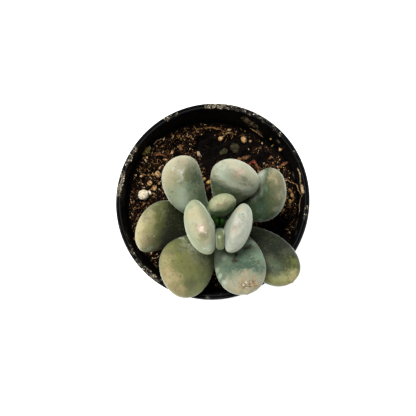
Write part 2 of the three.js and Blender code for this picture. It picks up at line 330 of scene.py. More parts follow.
def lime_at(place):
    """How much lime is dried on the rim at a point of it: it lies where water stood and dried."""
    thickest = 0
    turn = math.atan2(place.y, place.x)
    for start, end, amount in LIMY_STRETCHES:
        middle, half = math.radians(start + end) / 2, math.radians(end - start) / 2
        past = (abs(math.remainder(turn - middle, FULL_TURN)) - half) / LIME_FADE
        thickest = max(thickest, amount * min(1, max(0, 1 - past)))
    if place.z < POT_HEIGHT - LIMY_DEPTH:
        return 0
    patchy = (noise.noise(place / LIME_PATCH) + thickest * LIME_SPREAD - LIME_GAPS) * LIME_EDGE
    return thickest * min(1, max(0, patchy))


def on_inner_side(place):
    """1 on the inner side of the pot's wall, and 0 on its rim and outer side."""
    middle_of_wall = inner_wall_radius(place.z) + WALL / 2
    return float(place.to_2d().length < middle_of_wall * oval_at(math.atan2(place.y, place.x), place.z))


def measured(mesh, title, value_at):
    """Gives every vertex of a mesh a number that depends on where it is."""
    numbers = mesh.attributes.new(title, "FLOAT", "POINT")
    for vertex, number in zip(mesh.vertices, numbers.data):
        number.value = value_at(vertex.co)


def pot_plastic():
    """Black plastic with a little dust, a film of lime on the rim and mud smears on the inner wall."""
    plastic = Finish("black pot plastic", PLASTIC, 0.5, specular_ior_level=0.09)
    dust = plastic.ramp(plastic.speckle(6 * MM, warp=0.6), 0.5, 0.75, 0, 0.6)
    plastic.coat(PLASTIC_DUSTY, dust, 0.6)
    fine = plastic.speckle(0.9 * MM, detail=4.0, coarseness=0.7)
    film = plastic.ramp(fine, 0.42, 0.60) * plastic.attribute("lime")
    level = add(plastic.tree, "ShaderNodeSeparateXYZ", plastic.place, output=2)
    plastic.coat(LIME_FILM, film * plastic.ramp(level, POT_HEIGHT - LIMY_DEPTH, POT_HEIGHT), 0.9)
    wander = plastic.wander(2.4 * MM, 0.8 * MM)
    broken = plastic.ramp(fine, 0.38, 0.56) * plastic.attribute("inner_side")
    for direction, height, size in MUD_SMEARS:
        middle = inside_wall(math.radians(direction), height * MM)
        smear = plastic.patch(middle, size * MM, wander, ragged=1.6)
        plastic.coat(DRIED_MUD, smear * broken, 0.9)
    plastic.relief(plastic.speckle(1.6 * MM), 0.05 * MM, 0.5)
    return plastic.done()


pot_rings = [
    level_ring(Vector((0, 0, height)), lambda turn: radius * oval_at(turn, height))
    for radius, height in pot_section()[1:-1]
]
pot_mesh = rings_mesh("moulded_pot", (0, 0, 0), pot_rings, (0, 0, FLOOR))
pot = show("moulded_pot", pot_mesh, pot_plastic())

notch_cutters = bmesh.new()
for notch in range(NOTCHES):
    turn = Matrix.Rotation(FULL_TURN * notch / NOTCHES + RIM_OVAL_DIRECTION, 4, "Z")
    out = Matrix.Translation((inner_wall_radius(0) + WALL, 0, 0))
    size = Matrix.Diagonal((2 * NOTCH_REACH, NOTCH_WIDTH, 2 * NOTCH_HEIGHT, 1))
    bmesh.ops.create_cube(notch_cutters, size=1, matrix=turn @ out @ size)
cutter_mesh = bpy.data.meshes.new("notch_cutters")
notch_cutters.to_mesh(cutter_mesh)
notch_cutters.free()
cutter = show("notch_cutters", cutter_mesh)
cut = pot.modifiers.new("drain notches", "BOOLEAN")
cut.object = cutter
cut.solver = "EXACT"
edges = pot.modifiers.new("softened edges", "BEVEL")
edges.width = EDGE_ROUND
edges.segments = 2
edges.limit_method = "ANGLE"
edges.angle_limit = EDGE_ANGLE
settled(pot, smooth_below=40)
bpy.data.objects.remove(cutter)
measured(pot.data, "lime", lime_at)
measured(pot.data, "inner_side", on_inner_side)
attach(pot, "root")
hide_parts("pot")

# Lime on the rim
# White and tan flakes of lime and dried mud that the water left. They are thin as paper, and lie in
# patches on the top of the rim, thickest on the left, over a film of the same in the plastic's finish.
FLAKE_EDGE = 0.35 * MM  # flakes keep this far inside the rim's outer edge
FACES_UP = 0.2  # flakes lie where the rim's normal points at least this far up
MOSTLY_SMALL = 2.5  # the higher it is, the more of the bits are near the smallest size
LEAST_STRETCH = 0.6
MOST_STRETCH = 1.4
BIT_GRAIN = 0.4 * MM  # size of the flecks on one bit
BIT_FLECKS = 0.25  # how far the flecks change its shade
FLAKES = {
    "Per Square Metre": 1.2e7, "Smallest": 0.12 * MM, "Largest": 0.6 * MM, "Flatness": 0.14,
    "Tumble": 0.2, "Bend": 0.12 * MM, "Bend Size": 0.25 * MM, "Seed": 5,
}
FLAKE_COLOURS = [
    (0.00, (0.07, 0.05, 0.03)),
    (0.35, (0.22, 0.16, 0.09)),
    (0.65, (0.52, 0.43, 0.27)),
    (1.00, (0.86, 0.82, 0.68)),
]


def new_tree(name, inputs):
    """A Geometry Nodes tree with these named inputs and first values. None stands for a material."""
    kinds = {float: "Float", int: "Int", tuple: "Vector", type(None): "Material"}
    tree = bpy.data.node_groups.new(name, "GeometryNodeTree")
    tree.interface.new_socket("Geometry", in_out="INPUT", socket_type="NodeSocketGeometry")
    tree.interface.new_socket("Geometry", in_out="OUTPUT", socket_type="NodeSocketGeometry")
    for title, value in inputs.items():
        kind = "NodeSocket" + kinds[type(value)]
        socket = tree.interface.new_socket(title, in_out="INPUT", socket_type=kind)
        if value is not None:
            socket.default_value = value
    start = tree.nodes.new("NodeGroupInput")
    return tree, {socket.name: Wire(tree, socket) for socket in start.outputs if socket.name}


def end_tree(tree, geometry, material):
    """Ends a tree with real geometry that wears the material."""
    real = add(tree, "GeometryNodeRealizeInstances", geometry)
    dressed = add(tree, "GeometryNodeSetMaterial", real, None, material)
    end = tree.nodes.new("NodeGroupOutput")
    tree.links.new(dressed.socket, end.inputs[0])


def grown(name, tree, values, ground=None):
    """The plain mesh object that a tree grows with these values, on the ground mesh if it needs one."""
    grower = show(name, ground or bpy.data.meshes.new(name))
    modifier = grower.modifiers.new(tree.name, "NODES")
    modifier.node_group = tree
    for item in tree.interface.items_tree:
        if item.in_out == "INPUT" and item.name in values:
            modifier[item.identifier] = values[item.name]
    return settled(grower)


def litter_tree(name, shape):
    """Scatters a small shape over a surface: turned, sized, bent out of true and shaded at random."""
    tree, given = new_tree(
        name,
        {
            "Per Square Metre": 1e6, "Smallest": 0.3 * MM, "Largest": 1 * MM, "Flatness": 0.5,
            "Tumble": 0.5, "Bend": 0.2 * MM, "Bend Size": 1 * MM, "Dampness": 0.0, "Seed": 1,
            "Material": None,
        },
    )

    def drawn(low, high, turn, kind="FLOAT"):
        """A number or vector drawn for each bit, from a seed of its own."""
        return add(tree, "FunctionNodeRandomValue", low, high, None, given["Seed"] + turn, data_type=kind)

    amount = add(tree, "GeometryNodeInputNamedAttribute", "amount", data_type="FLOAT")
    points = add(
        tree, "GeometryNodeDistributePointsOnFaces", given["Geometry"], None,
        given["Per Square Metre"] * amount, given["Seed"],
    )
    chance = drawn(0.0, 1.0, 1)
    size = given["Smallest"] + (given["Largest"] - given["Smallest"]) * chance ** MOSTLY_SMALL
    spread = drawn((LEAST_STRETCH,) * 3, (MOST_STRETCH,) * 3, 2, "FLOAT_VECTOR")
    flat = add(tree, "ShaderNodeCombineXYZ", 1.0, 1.0, given["Flatness"])
    scale = spread.vectors("MULTIPLY", flat) * size
    turns = drawn((-1.0, -1.0, -math.pi), (1.0, 1.0, math.pi), 3, "FLOAT_VECTOR")
    tumble = add(tree, "ShaderNodeCombineXYZ", given["Tumble"], given["Tumble"], 1.0)
    # The bits are darker where few lie, which makes the dips darker as painted shade.
    shade = drawn(0.0, 1.0, 4) * (1 - given["Dampness"] * (1 - (amount * 2).maths("MINIMUM", 1.0)))
    points = add(tree, "GeometryNodeStoreNamedAttribute", points, None, "shade", shade)
    turned = add(tree, "FunctionNodeEulerToRotation", turns.vectors("MULTIPLY", tumble))
    bits = add(
        tree, "GeometryNodeInstanceOnPoints", points, None, shape(tree), None, None, turned, scale
    )
    real = add(tree, "GeometryNodeRealizeInstances", bits)
    place = add(tree, "GeometryNodeInputPosition")
    shift = swirl(tree, place, given["Bend Size"]) * given["Bend"]
    bent = add(tree, "GeometryNodeSetPosition", real, None, None, shift)
    end_tree(tree, bent, given["Material"])
    return tree


def crumb(tree):
    return add(tree, "GeometryNodeMeshIcoSphere", 0.5, 1)


def litter_finish(name, colours, relief):
    """Bits that each have their own shade, attribute shade, from a run of colours."""
    litter = Finish(name, colours[0][1], 0.9, specular_ior_level=0.15)
    grain = litter.speckle(BIT_GRAIN, detail=2.0)
    shade = litter.attribute("shade") + (grain - 0.5) * BIT_FLECKS
    ramp = litter.tree.nodes.new("ShaderNodeValToRGB")
    stops = ramp.color_ramp.elements
    while len(stops) < len(colours):
        stops.new(0.5)
    for stop, (position, colour) in zip(stops, colours):
        stop.position = position
        stop.color = (*colour, 1)
    litter.tree.links.new(shade.socket, ramp.inputs[0])
    litter.colour = Wire(litter.tree, ramp.outputs[0])
    litter.relief(grain, relief)
    return litter.done()


def surface_of(piece, wanted, amount_at):
    """The faces of a piece whose middles are wanted, as a mesh that says how much lies where."""
    surface = bmesh.new()
    surface.from_mesh(piece.data)
    others = [face for face in surface.faces if not wanted(face.calc_center_median(), face.normal)]
    bmesh.ops.delete(surface, geom=others, context="FACES")
    mesh = bpy.data.meshes.new("surface of " + piece.name)
    surface.to_mesh(mesh)
    surface.free()
    measured(mesh, "amount", amount_at)
    return mesh


def top_of_rim(middle, normal):
    rim = RIM_RADIUS * oval_at(math.atan2(middle.y, middle.x), POT_HEIGHT)
    inside = middle.to_2d().length < rim - FLAKE_EDGE
    return inside and normal.z > FACES_UP and middle.z > POT_HEIGHT - LIMY_DEPTH


flakes = grown(
    "lime_flakes", litter_tree("Lime flakes", crumb),
    FLAKES | {"Material": litter_finish("dried lime", FLAKE_COLOURS, 0.05 * MM)},
    surface_of(pot, top_of_rim, lime_at),
)
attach(flakes, "root")

# Soil
# Composted bark and peat, dark brown and crumbly, filled to about 13 mm below the rim. It fills the
# pot to a hair's breadth from the wall, and has a plain hole that the foot of the stem stands in.
GAP = 0.3 * MM
SOIL_TOP = 44 * MM
SOIL_RINGS = 72
CRUMB_HEIGHT = 0.55 * MM
DIPS = [  # x, y and radius in mm of each dip in the soil, and how deep it is as a share; the litter in the dips is sparse and darker, as painted shade
    (0.5, 19.5, 6.8, 1.0), (8.0, 19.0, 7.0, 0.9), (16.5, 18.5, 6.0, 0.65), (21.5, -8.5, 5.5, 0.8),
]
DIP_DEPTH = 2.2 * MM
STEM_HOLE_FLOOR = 31 * MM
STEM_RADIUS = 2.9 * MM
STEM_MIDDLE = Vector((1.8 * MM, -5.5 * MM, 50 * MM))
STEM_LEAN = Vector((0.02, -0.21, 1))
CLOD_SIZE = 2.3 * MM
CLOD_HEIGHT = 1.1 * MM
CLOD_ROUGHNESS = 0.6
CLOD_FINER = 2.1  # each layer of clods is this many times finer than the one before
CLOD_LAYERS = 5
BANKS = [(12, 4.0), (152, 6.2)]  # direction in degrees and height in mm of each bank at the wall
BANK_FOOT = 17 * MM  # distance from the middle where the banks begin to rise
WALL_CLIMB = 2.9  # how far up the wall a bit clings for each step that it lies outside the soil
PEAT = (0.0020, 0.0012, 0.0008)
PEAT_BROWN = (0.010, 0.0045, 0.0018)


def stem_axis(height):
    return STEM_MIDDLE + STEM_LEAN * (height - STEM_MIDDLE.z)


def dip(x, y):
    """1 in the middle of the deepest dip in the soil, and 0 well away from them all."""
    deepest = 0
    for across, along, radius, share in DIPS:
        away = math.hypot(x / MM - across, y / MM - along) / radius
        deepest = max(deepest, share * math.exp(-away ** 4))
    return deepest


def bank(x, y):
    """How far the soil is banked up against the wall."""
    climb = max(0, math.hypot(x, y) - BANK_FOOT) / (inner_wall_radius(SOIL_TOP) - BANK_FOOT)
    turn = math.atan2(y, x)
    highest = sum(rise * max(0, math.cos(turn - math.radians(way))) ** 2 for way, rise in BANKS)
    return highest * MM * min(1, climb) ** 2


def soil_height(x, y):
    """Height of the soil's crumbled top."""
    across, along = x / MM, y / MM
    waves = math.sin(0.9 * across + 1.3) * math.cos(0.8 * along)
    waves += 0.6 * math.sin(1.7 * along - 0.6 * across)
    return SOIL_TOP + CRUMB_HEIGHT * waves + bank(x, y) - DIP_DEPTH * dip(x, y)


def soil_mesh():
    def at(height):
        return Vector((0, 0, height))

    def wall(height):
        return lambda turn: (inner_wall_radius(height) - GAP) * oval_at(turn, height)

    floor = FLOOR + GAP
    outer = []
    for point in level_ring(at(SOIL_TOP), wall(SOIL_TOP)):
        rise = bank(point.x, point.y)
        outward = Vector((point.x, point.y, 0)).normalized()
        outer.append(point + outward * rise * WALL_TAPER + Vector((0, 0, rise)))
    hole = level_ring(stem_axis(SOIL_TOP), lambda turn: STEM_RADIUS + GAP)
    rings = [
        level_ring(at(floor), lambda turn: inner_wall_radius(floor) - GAP - FLOOR_FILLET),
        level_ring(at(floor + FLOOR_FILLET), wall(floor + FLOOR_FILLET)),
        level_ring(at(SOIL_TOP - CLOD_HEIGHT), wall(SOIL_TOP - CLOD_HEIGHT)),
        outer,
    ]
    for step in range(1, SOIL_RINGS):
        ring = []
        for edge, inside in zip(outer, hole):
            place = edge.lerp(inside, step / SOIL_RINGS)
            clods = noise.fractal(place / CLOD_SIZE, CLOD_ROUGHNESS, CLOD_FINER, CLOD_LAYERS)
            height = soil_height(place.x, place.y) + CLOD_HEIGHT * clods
            ring.append(Vector((place.x, place.y, height)))
        rings.append(ring)
    foot = stem_axis(STEM_HOLE_FLOOR)
    rings += [hole, level_ring(foot, lambda turn: STEM_RADIUS + GAP)]
    return rings_mesh("bark_and_peat", at(floor), rings, foot)


def peat_finish():
    """Near black peat with browner bark in it."""
    peat = Finish("bark and peat", PEAT, 0.95, specular_ior_level=0.1)
    peat.coat(PEAT_BROWN, peat.ramp(peat.speckle(1.2 * MM, detail=6.0, coarseness=0.7), 0.5, 0.75))
    peat.relief(peat.speckle(0.5 * MM, detail=5.0), 0.5 * MM)
    return peat.done()


soil = show("bark_and_peat", soil_mesh(), peat_finish())
ground = BVHTree.FromPolygons(
    [vertex.co for vertex in soil.data.vertices], [face.vertices[:] for face in soil.data.polygons]
)


def on_soil(x, y, lift=0.0):
    """The point lift above the crumbled soil at x and y, all in mm, or against the wall beyond it."""
    place = Vector((x, y, 0)) * MM
    under = ground.ray_cast(place + Vector((0, 0, POT_HEIGHT)), Vector((0, 0, -1)))[0]
    if under:
        return under + Vector((0, 0, lift * MM))
    beyond = place.length - inner_wall_radius(SOIL_TOP) + GAP
    cling = inside_wall(math.atan2(y, x), SOIL_TOP + WALL_CLIMB * max(0, beyond))
    return cling - place.normalized() * lift * MM


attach(soil, "root")
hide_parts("soil")

# Litter on the soil
# The top of the soil is loose: dust and crumbs of peat, splinters of bark, and fine fibres, from near
# black to gold where the bark is freshly broken. They lie as they fell, half sunk into the soil.
# The bits are few and darker in the dips, as painted shade.
LITTER_CLUSTER = 3.5 * MM
CLUSTERING = 1.6
FEWEST = 0.1  # the least litter anywhere, as a share of the most usual amount
BANK_LITTER = 11 * MM  # height of a bank that would double the litter; the extra bits lighten the soil on the banks as painted light
# Most of the litter is left out of the dips, so that the near black peat shows there as painted shade.
DIP_BARENESS = 0.93
SPARSE_DARKENING = 0.62  # how much darker the bits are where few lie: painted shade in the dips, and a darker random tone where the litter is thin elsewhere
CRUMB_COLOURS = [
    (0.00, (0.003, 0.0016, 0.0010)),
    (0.48, (0.006, 0.0028, 0.0014)),
    (0.68, (0.036, 0.014, 0.005)),
    (0.83, (0.160, 0.066, 0.022)),
    (0.94, (0.450, 0.230, 0.085)),
    (1.00, (0.800, 0.600, 0.340)),
]


def grit(tree):
    return add(tree, "GeometryNodeMeshCube", (0.8, 0.8, 0.8))


def splinter(tree):
    return add(tree, "GeometryNodeTransform", crumb(tree), None, None, (1.8, 0.7, 0.6))


def fibre(tree):
    line = add(
        tree, "GeometryNodeCurveQuadraticBezier", 6, (-0.5, 0.0, 0.0), (0.05, 0.3, 0.08), (0.5, 0.0, 0.0)
    )
    section = add(tree, "GeometryNodeCurvePrimitiveCircle", 4, 0.038)
    return add(tree, "GeometryNodeCurveToMesh", line, section, None, True)


def open_soil(clear):
    """Tells which faces of the soil's top lie further than clear from the wall and the stem."""
    def lies_clear(middle, normal):
        to_wall = inner_wall_radius(SOIL_TOP) - middle.to_2d().length
        to_stem = (middle - stem_axis(SOIL_TOP)).to_2d().length - STEM_RADIUS
        return middle.z > SOIL_TOP - 2 * DIP_DEPTH and min(to_wall, to_stem) > clear

    return lies_clear


# More bits lie on the banks at the wall, which lightens the soil there as painted light.
def litter_amount(place):
    clustered = 1 + CLUSTERING * noise.noise(place / LITTER_CLUSTER)
    banked = bank(place.x, place.y) / BANK_LITTER
    return (max(FEWEST, clustered) + banked) * (1 - DIP_BARENESS * dip(place.x, place.y))


# For each kind: shape, how many on a square metre, how far in mm it keeps from the wall, smallest and
# largest, flatness, tumble, bend, bend size and seed
LITTER = {
    "peat_dust": (grit, 4.6e6, 0.4, 0.18, 0.5, 0.8, 3.1, 0.10, 0.25, 11),
    "peat_crumbs": (crumb, 1.7e6, 0.9, 0.3, 1.0, 0.75, 3.1, 0.22, 0.35, 17),
    "bark_splinters": (splinter, 7.0e5, 1.4, 0.35, 1.3, 0.8, 1.2, 0.30, 0.45, 23),
    "peat_fibres": (fibre, 8.0e5, 2.0, 0.9, 3.2, 1.0, 0.5, 0.7, 1.2, 37),
}
crumb_finish = litter_finish("peat crumbs", CRUMB_COLOURS, 0.1 * MM)
for name, (shape, density, clear, low, high, flat, tumble, bend, bend_size, seed) in LITTER.items():
    values = {
        "Per Square Metre": density, "Smallest": low * MM, "Largest": high * MM, "Flatness": flat,
        "Tumble": tumble, "Bend": bend * MM, "Bend Size": bend_size * MM, "Dampness": SPARSE_DARKENING,
        "Seed": seed, "Material": crumb_finish,
    }
    top_of_soil = surface_of(soil, open_soil(clear * MM), litter_amount)
    litter = grown(name, litter_tree(name, shape), values, top_of_soil)
    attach(litter, "root")

# Grains in the top of the soil
# Single lumps that catch the eye: white perlite, chips of tan and golden bark, a worn olive stone, a
# tuft of yellowing moss, and brown chips. Each lies where it fell, sunk a little into the soil.
GRAIN_FACETS = 3
PITS_FINER = 3  # pits are this many times finer than the dents
GRAIN_SUNK = 0.35  # share of a grain's height by which its middle is above the soil
GRAINS = {  # colour, shaded colour, and x, y, length, width, height in mm and turn in degrees of each
    "perlite_grains": ((0.95, 0.90, 0.74), (0.62, 0.47, 0.26), [
        (-23.3, 3.3, 3.7, 3.5, 3.1, 20), (-21.6, 4.1, 1.7, 1.6, 1.4, 70), (-16.5, 22.2, 1.1, 0.6, 0.6, 60),
        (-25.7, 9.6, 0.7, 0.5, 0.5, 0), (-18.0, 5.7, 0.6, 0.5, 0.4, 0),
    ]),
    "tan_bark_chips": ((0.62, 0.40, 0.18), (0.20, 0.10, 0.035), [
        (-18.5, 10.6, 2.3, 1.9, 1.8, 130), (-20.0, 10.6, 1.7, 1.0, 0.9, 20), (-21.1, 7.4, 1.7, 1.5, 1.3, 30),
        (-19.7, 6.0, 2.0, 1.7, 1.5, 150), (-18.1, 7.6, 1.0, 0.8, 0.7, 0), (-19.8, 4.2, 0.9, 0.7, 0.6, 0),
        (-16.2, 15.9, 1.8, 0.9, 0.8, 165), (-13.7, 18.2, 1.3, 1.0, 0.9, 50), (-21.1, 20.2, 1.8, 0.9, 0.8, 15),
        (10.7, 23.0, 2.0, 2.4, 1.5, 20), (12.9, 22.4, 1.3, 0.8, 0.7, 50), (3.0, 23.6, 2.5, 1.5, 1.2, 35),
        (23.4, 18.9, 1.3, 1.0, 0.9, 0),
    ]),
    "golden_grit": ((0.66, 0.42, 0.13), (0.28, 0.14, 0.03), [
        (-1.2, 8.0, 1.9, 1.6, 1.5, 20), (-2.9, 9.3, 1.3, 1.1, 1.0, 80), (23.2, -1.0, 1.3, 1.1, 1.0, 0),
        (26.6, 3.2, 1.4, 0.9, 0.9, 60), (26.2, 1.2, 1.6, 1.0, 1.0, 110), (25.0, 2.2, 1.0, 0.8, 0.7, 0),
        (-11.4, 23.2, 1.5, 0.9, 0.8, 130), (-10.9, 22.6, 1.0, 0.7, 0.6, 70), (20.3, 20.5, 0.9, 0.6, 0.6, 60),
        (-26.2, -11.4, 1.4, 1.0, 0.9, 40), (19.8, 22.4, 0.8, 0.5, 0.5, 60),
    ]),
    "pale_chips": ((0.44, 0.33, 0.20), (0.14, 0.09, 0.045), [
        (-4.7, 18.0, 1.9, 1.2, 1.1, 110), (-4.1, 17.3, 1.1, 0.8, 0.7, 60), (17.4, 14.5, 0.8, 0.6, 0.6, 0),
        (12.3, 19.6, 0.5, 0.4, 0.4, 0), (16.0, 19.9, 0.6, 0.4, 0.4, 0),
    ]),
    "olive_stone": ((0.052, 0.046, 0.018), (0.014, 0.012, 0.005), [
        (7.6, 20.7, 3.2, 4.6, 1.4, 15), (3.8, 19.0, 2.9, 1.8, 0.6, 30),
    ]),
    "moss_tuft": ((0.26, 0.20, 0.050), (0.070, 0.055, 0.016), [
        (-23.0, 19.0, 2.2, 1.8, 1.4, 40), (-24.0, 18.1, 1.7, 1.5, 1.2, 0), (-22.0, 18.0, 1.9, 1.4, 1.2, 80),
        (-23.1, 17.2, 1.9, 1.5, 1.1, 140), (-23.3, 18.3, 2.4, 1.2, 1.3, 15),
    ]),
    "brown_chips": ((0.22, 0.095, 0.035), (0.055, 0.024, 0.010), [
        (-10.8, 19.7, 2.4, 1.4, 1.0, 105), (11.3, 16.9, 3.6, 1.5, 1.1, 10), (9.4, 16.4, 2.0, 1.2, 0.9, 160),
        (-16.2, 13.0, 1.8, 0.8, 0.7, 20), (19.6, 16.5, 2.2, 0.9, 0.8, 35), (-18.6, 17.4, 2.8, 0.9, 0.8, 10),
        (24.4, 13.8, 2.6, 0.8, 0.7, 30),
    ]),
}


def grain_tree():
    """Lumps at the points of a mesh, each with the size and turn stored there, and then made uneven."""
    tree, given = new_tree(
        "Grains", {"Dents": 0.5 * MM, "Dent Size": 0.9 * MM, "Pits": 0.12 * MM, "Material": None}
    )
    size = add(tree, "GeometryNodeInputNamedAttribute", "size", data_type="FLOAT_VECTOR")
    turn = add(tree, "GeometryNodeInputNamedAttribute", "turn", data_type="FLOAT")
    turned = add(
        tree, "FunctionNodeEulerToRotation", add(tree, "ShaderNodeCombineXYZ", 0.0, 0.0, turn)
    )
    lump = add(tree, "GeometryNodeMeshIcoSphere", 0.5, GRAIN_FACETS)
    points = add(tree, "GeometryNodeMeshToPoints", given["Geometry"])
    lumps = add(tree, "GeometryNodeInstanceOnPoints", points, None, lump, None, None, turned, size)
    real = add(tree, "GeometryNodeRealizeInstances", lumps)
    place = add(tree, "GeometryNodeInputPosition")
    for depth, finer in ((given["Dents"], 1), (given["Pits"], PITS_FINER)):
        shift = swirl(tree, place, given["Dent Size"] / finer) * depth
        real = add(tree, "GeometryNodeSetPosition", real, None, None, shift)
    end_tree(tree, add(tree, "GeometryNodeSetShadeSmooth", real, None, True), given["Material"])
    return tree


def mottled(name, colour, shaded, roughness=0.85):
    """Two tones of one colour, the darker in the pits: partly the grain's own darker pores, and partly
    painted shade in them.
    """
    finish = Finish(name, shaded, roughness, specular_ior_level=0.2)
    pits = finish.speckle(0.8 * MM, detail=4.0, coarseness=0.65)
    finish.coat(colour, finish.ramp(pits, 0.40, 0.58))
    finish.relief(pits, 0.12 * MM)
    return finish.done()


def grain_points(lumps):
    """A mesh of loose points on the soil that carries the size and turn of each lump."""
    points = bpy.data.meshes.new("grain_points")
    seats = [on_soil(x, y, GRAIN_SUNK * high) for x, y, long, wide, high, turn in lumps]
    points.from_pydata(seats, [], [])
    points.attributes.new("size", "FLOAT_VECTOR", "POINT")
    points.attributes.new("turn", "FLOAT", "POINT")
    sizes, turns = points.attributes["size"].data, points.attributes["turn"].data
    for (x, y, long, wide, high, turn), size, angle in zip(lumps, sizes, turns):
        size.vector = Vector((long, wide, high)) * MM
        angle.value = math.radians(turn)
    return points


grains = grain_tree()
for name, (colour, shaded, lumps) in GRAINS.items():
    finish = mottled(name.replace("_", " "), colour, shaded)
    group = grown(name, grains, {"Material": finish}, grain_points(lumps))
    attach(group, "root")

# Moss
# A small cushion of dry moss at the wall, on the left. Its short strands stand every way, and are olive
# brown to straw yellow.
MOSS = {
    "Per Square Metre": 9e6, "Smallest": 0.5 * MM, "Largest": 1.7 * MM, "Flatness": 1.0, "Tumble": 1.6,
    "Bend": 0.3 * MM, "Bend Size": 0.6 * MM, "Seed": 41,
}
MOSS_COLOURS = [
    (0.00, (0.070, 0.050, 0.012)),
    (0.40, (0.300, 0.215, 0.045)),
    (0.75, (0.620, 0.460, 0.130)),
    (1.00, (0.850, 0.700, 0.360)),
]
MOSS["Material"] = litter_finish("moss", MOSS_COLOURS, 0.05 * MM)
cushion = surface_of(bpy.data.objects["moss_tuft"], lambda middle, normal: True, lambda place: 1.0)
strands = grown("moss_strands", litter_tree("Moss strands", fibre), MOSS, cushion)
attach(strands, "root")

# Roots and fibres
# Old rootlets and shreds of bark. One hangs from the rim down the inner wall on the right, two run
# along the far wall, and a curled strip and the rest of a dry red leaf lie on the soil beyond the leaves.
ROOT_STEP = 0.3 * MM
ROOT_SIDES = 7
ROOT_TAPER = 0.4  # the lower it is, the longer a root keeps its thickness
ROOT_TIP = 0.2  # thickness of its ends, as a share of the middle
KNOT_SIZE = 0.5  # size of its knots, as a share of the size of its bends
# Each root colour comes with a darker one for its pits, partly painted shade.
TAN_ROOT = ((0.52, 0.38, 0.21), (0.13, 0.08, 0.04))
GOLD_ROOT = ((0.42, 0.24, 0.085), (0.10, 0.05, 0.02))
BROWN_ROOT = ((0.30, 0.125, 0.045), (0.07, 0.028, 0.012))
RED_ROOT = ((0.26, 0.060, 0.030), (0.065, 0.016, 0.009))


def on_wall(direction, height, out=0.35):
    """A point on the inner wall, with a strand's own half thickness between."""
    point = inside_wall(math.radians(direction), height * MM)
    return point - Vector((point.x, point.y, 0)).normalized() * out * MM


ROOTS = {  # thickness in mm, colours and course
    "rim_shred": (0.5, TAN_ROOT, [
        on_wall(21.5, 55.4), on_wall(20, 56.3), on_wall(16.4, 55.9), on_wall(13.2, 55.2), on_wall(11.3, 53.8),
        on_wall(9.6, 54.6),
    ]),
    "rim_shred_knot": (1.2, TAN_ROOT, [
        on_wall(10.2, 54.4), on_wall(8, 55.6), on_wall(5.6, 56.2), on_wall(4.2, 55.2),
    ]),
    "rim_rootlet": (0.3, TAN_ROOT, [
        on_wall(4.4, 55.2), on_wall(3.2, 53.8), on_wall(1.6, 51.6), on_wall(-1.1, 50.2), on_wall(-4.5, 50.6),
        on_wall(-8.3, 50.8),
    ]),
    "wall_rootlet": (0.3, GOLD_ROOT, [
        on_soil(24.2, 9.4, 0.8), on_soil(25.8, 7.9, 1.0), on_wall(12.5, 49.4), on_wall(8, 50.6),
        on_wall(5, 53.8), on_wall(4.2, 55.2),
    ]),
    "upper_fibre": (0.3, GOLD_ROOT, [
        on_wall(64, 47.2), on_wall(60, 47.8), on_wall(57, 47.2), on_wall(54, 46.4),
    ]),
    "curled_strip": (0.6, GOLD_ROOT, [
        on_soil(3.6, 23.6, 1.2), on_soil(4.8, 24.6, 1.6), on_soil(6.2, 24.8, 1.8), on_soil(7.0, 24.0, 1.5),
        on_soil(6.2, 23.2, 1.1),
    ]),
    "root_along_wall": (0.45, GOLD_ROOT, [
        on_wall(121, 45.4, 3.3), on_wall(114, 45.3, 2.8), on_wall(105, 45.4, 2.4), on_wall(96, 45.4, 2.2),
        on_wall(87, 45.2, 2.4), on_wall(77, 44.8, 3.2),
    ]),
    "second_root_along_wall": (0.26, RED_ROOT, [
        on_wall(107, 45.0, 2.0), on_wall(98, 45.1, 1.6), on_wall(89, 45.0, 1.6), on_wall(82, 44.8, 2.2),
    ]),
    "red_leaf_curl": (1.1, RED_ROOT, [
        on_soil(12.4, 13.6, 0.6), on_soil(12.9, 14.6, 1.6), on_soil(13.9, 14.9, 2.2),
        on_soil(14.6, 14.0, 1.4),
    ]),
    "red_leaf_stalk": (0.9, BROWN_ROOT, [
        on_soil(14.3, 14.8, 1.2), on_soil(15.1, 13.4, 1.8), on_soil(15.7, 12.2, 1.4),
        on_soil(16.0, 11.0, 0.6),
    ]),
    "leaning_stick": (0.7, BROWN_ROOT, [
        on_soil(22.2, 13.0, 0.5), on_soil(23.9, 14.0, 0.9), on_soil(25.4, 15.2, 1.2),
    ]),
    "left_fibre": (0.35, TAN_ROOT, [
        on_soil(-21.4, 20.2, 0.6), on_soil(-18.9, 20.9, 1.0), on_soil(-17.0, 22.0, 0.8),
    ]),
    "left_strip": (0.5, BROWN_ROOT, [
        on_soil(-19.8, 16.4, 0.3), on_soil(-17.6, 17.0, 0.8), on_soil(-15.4, 16.4, 0.5),
    ]),
    "right_strip": (0.6, GOLD_ROOT, [
        on_soil(25.4, 5.4, 0.3), on_soil(26.8, 3.8, 0.7), on_soil(27.0, 1.6, 0.7), on_soil(25.6, 0.0, 0.3),
    ]),
}


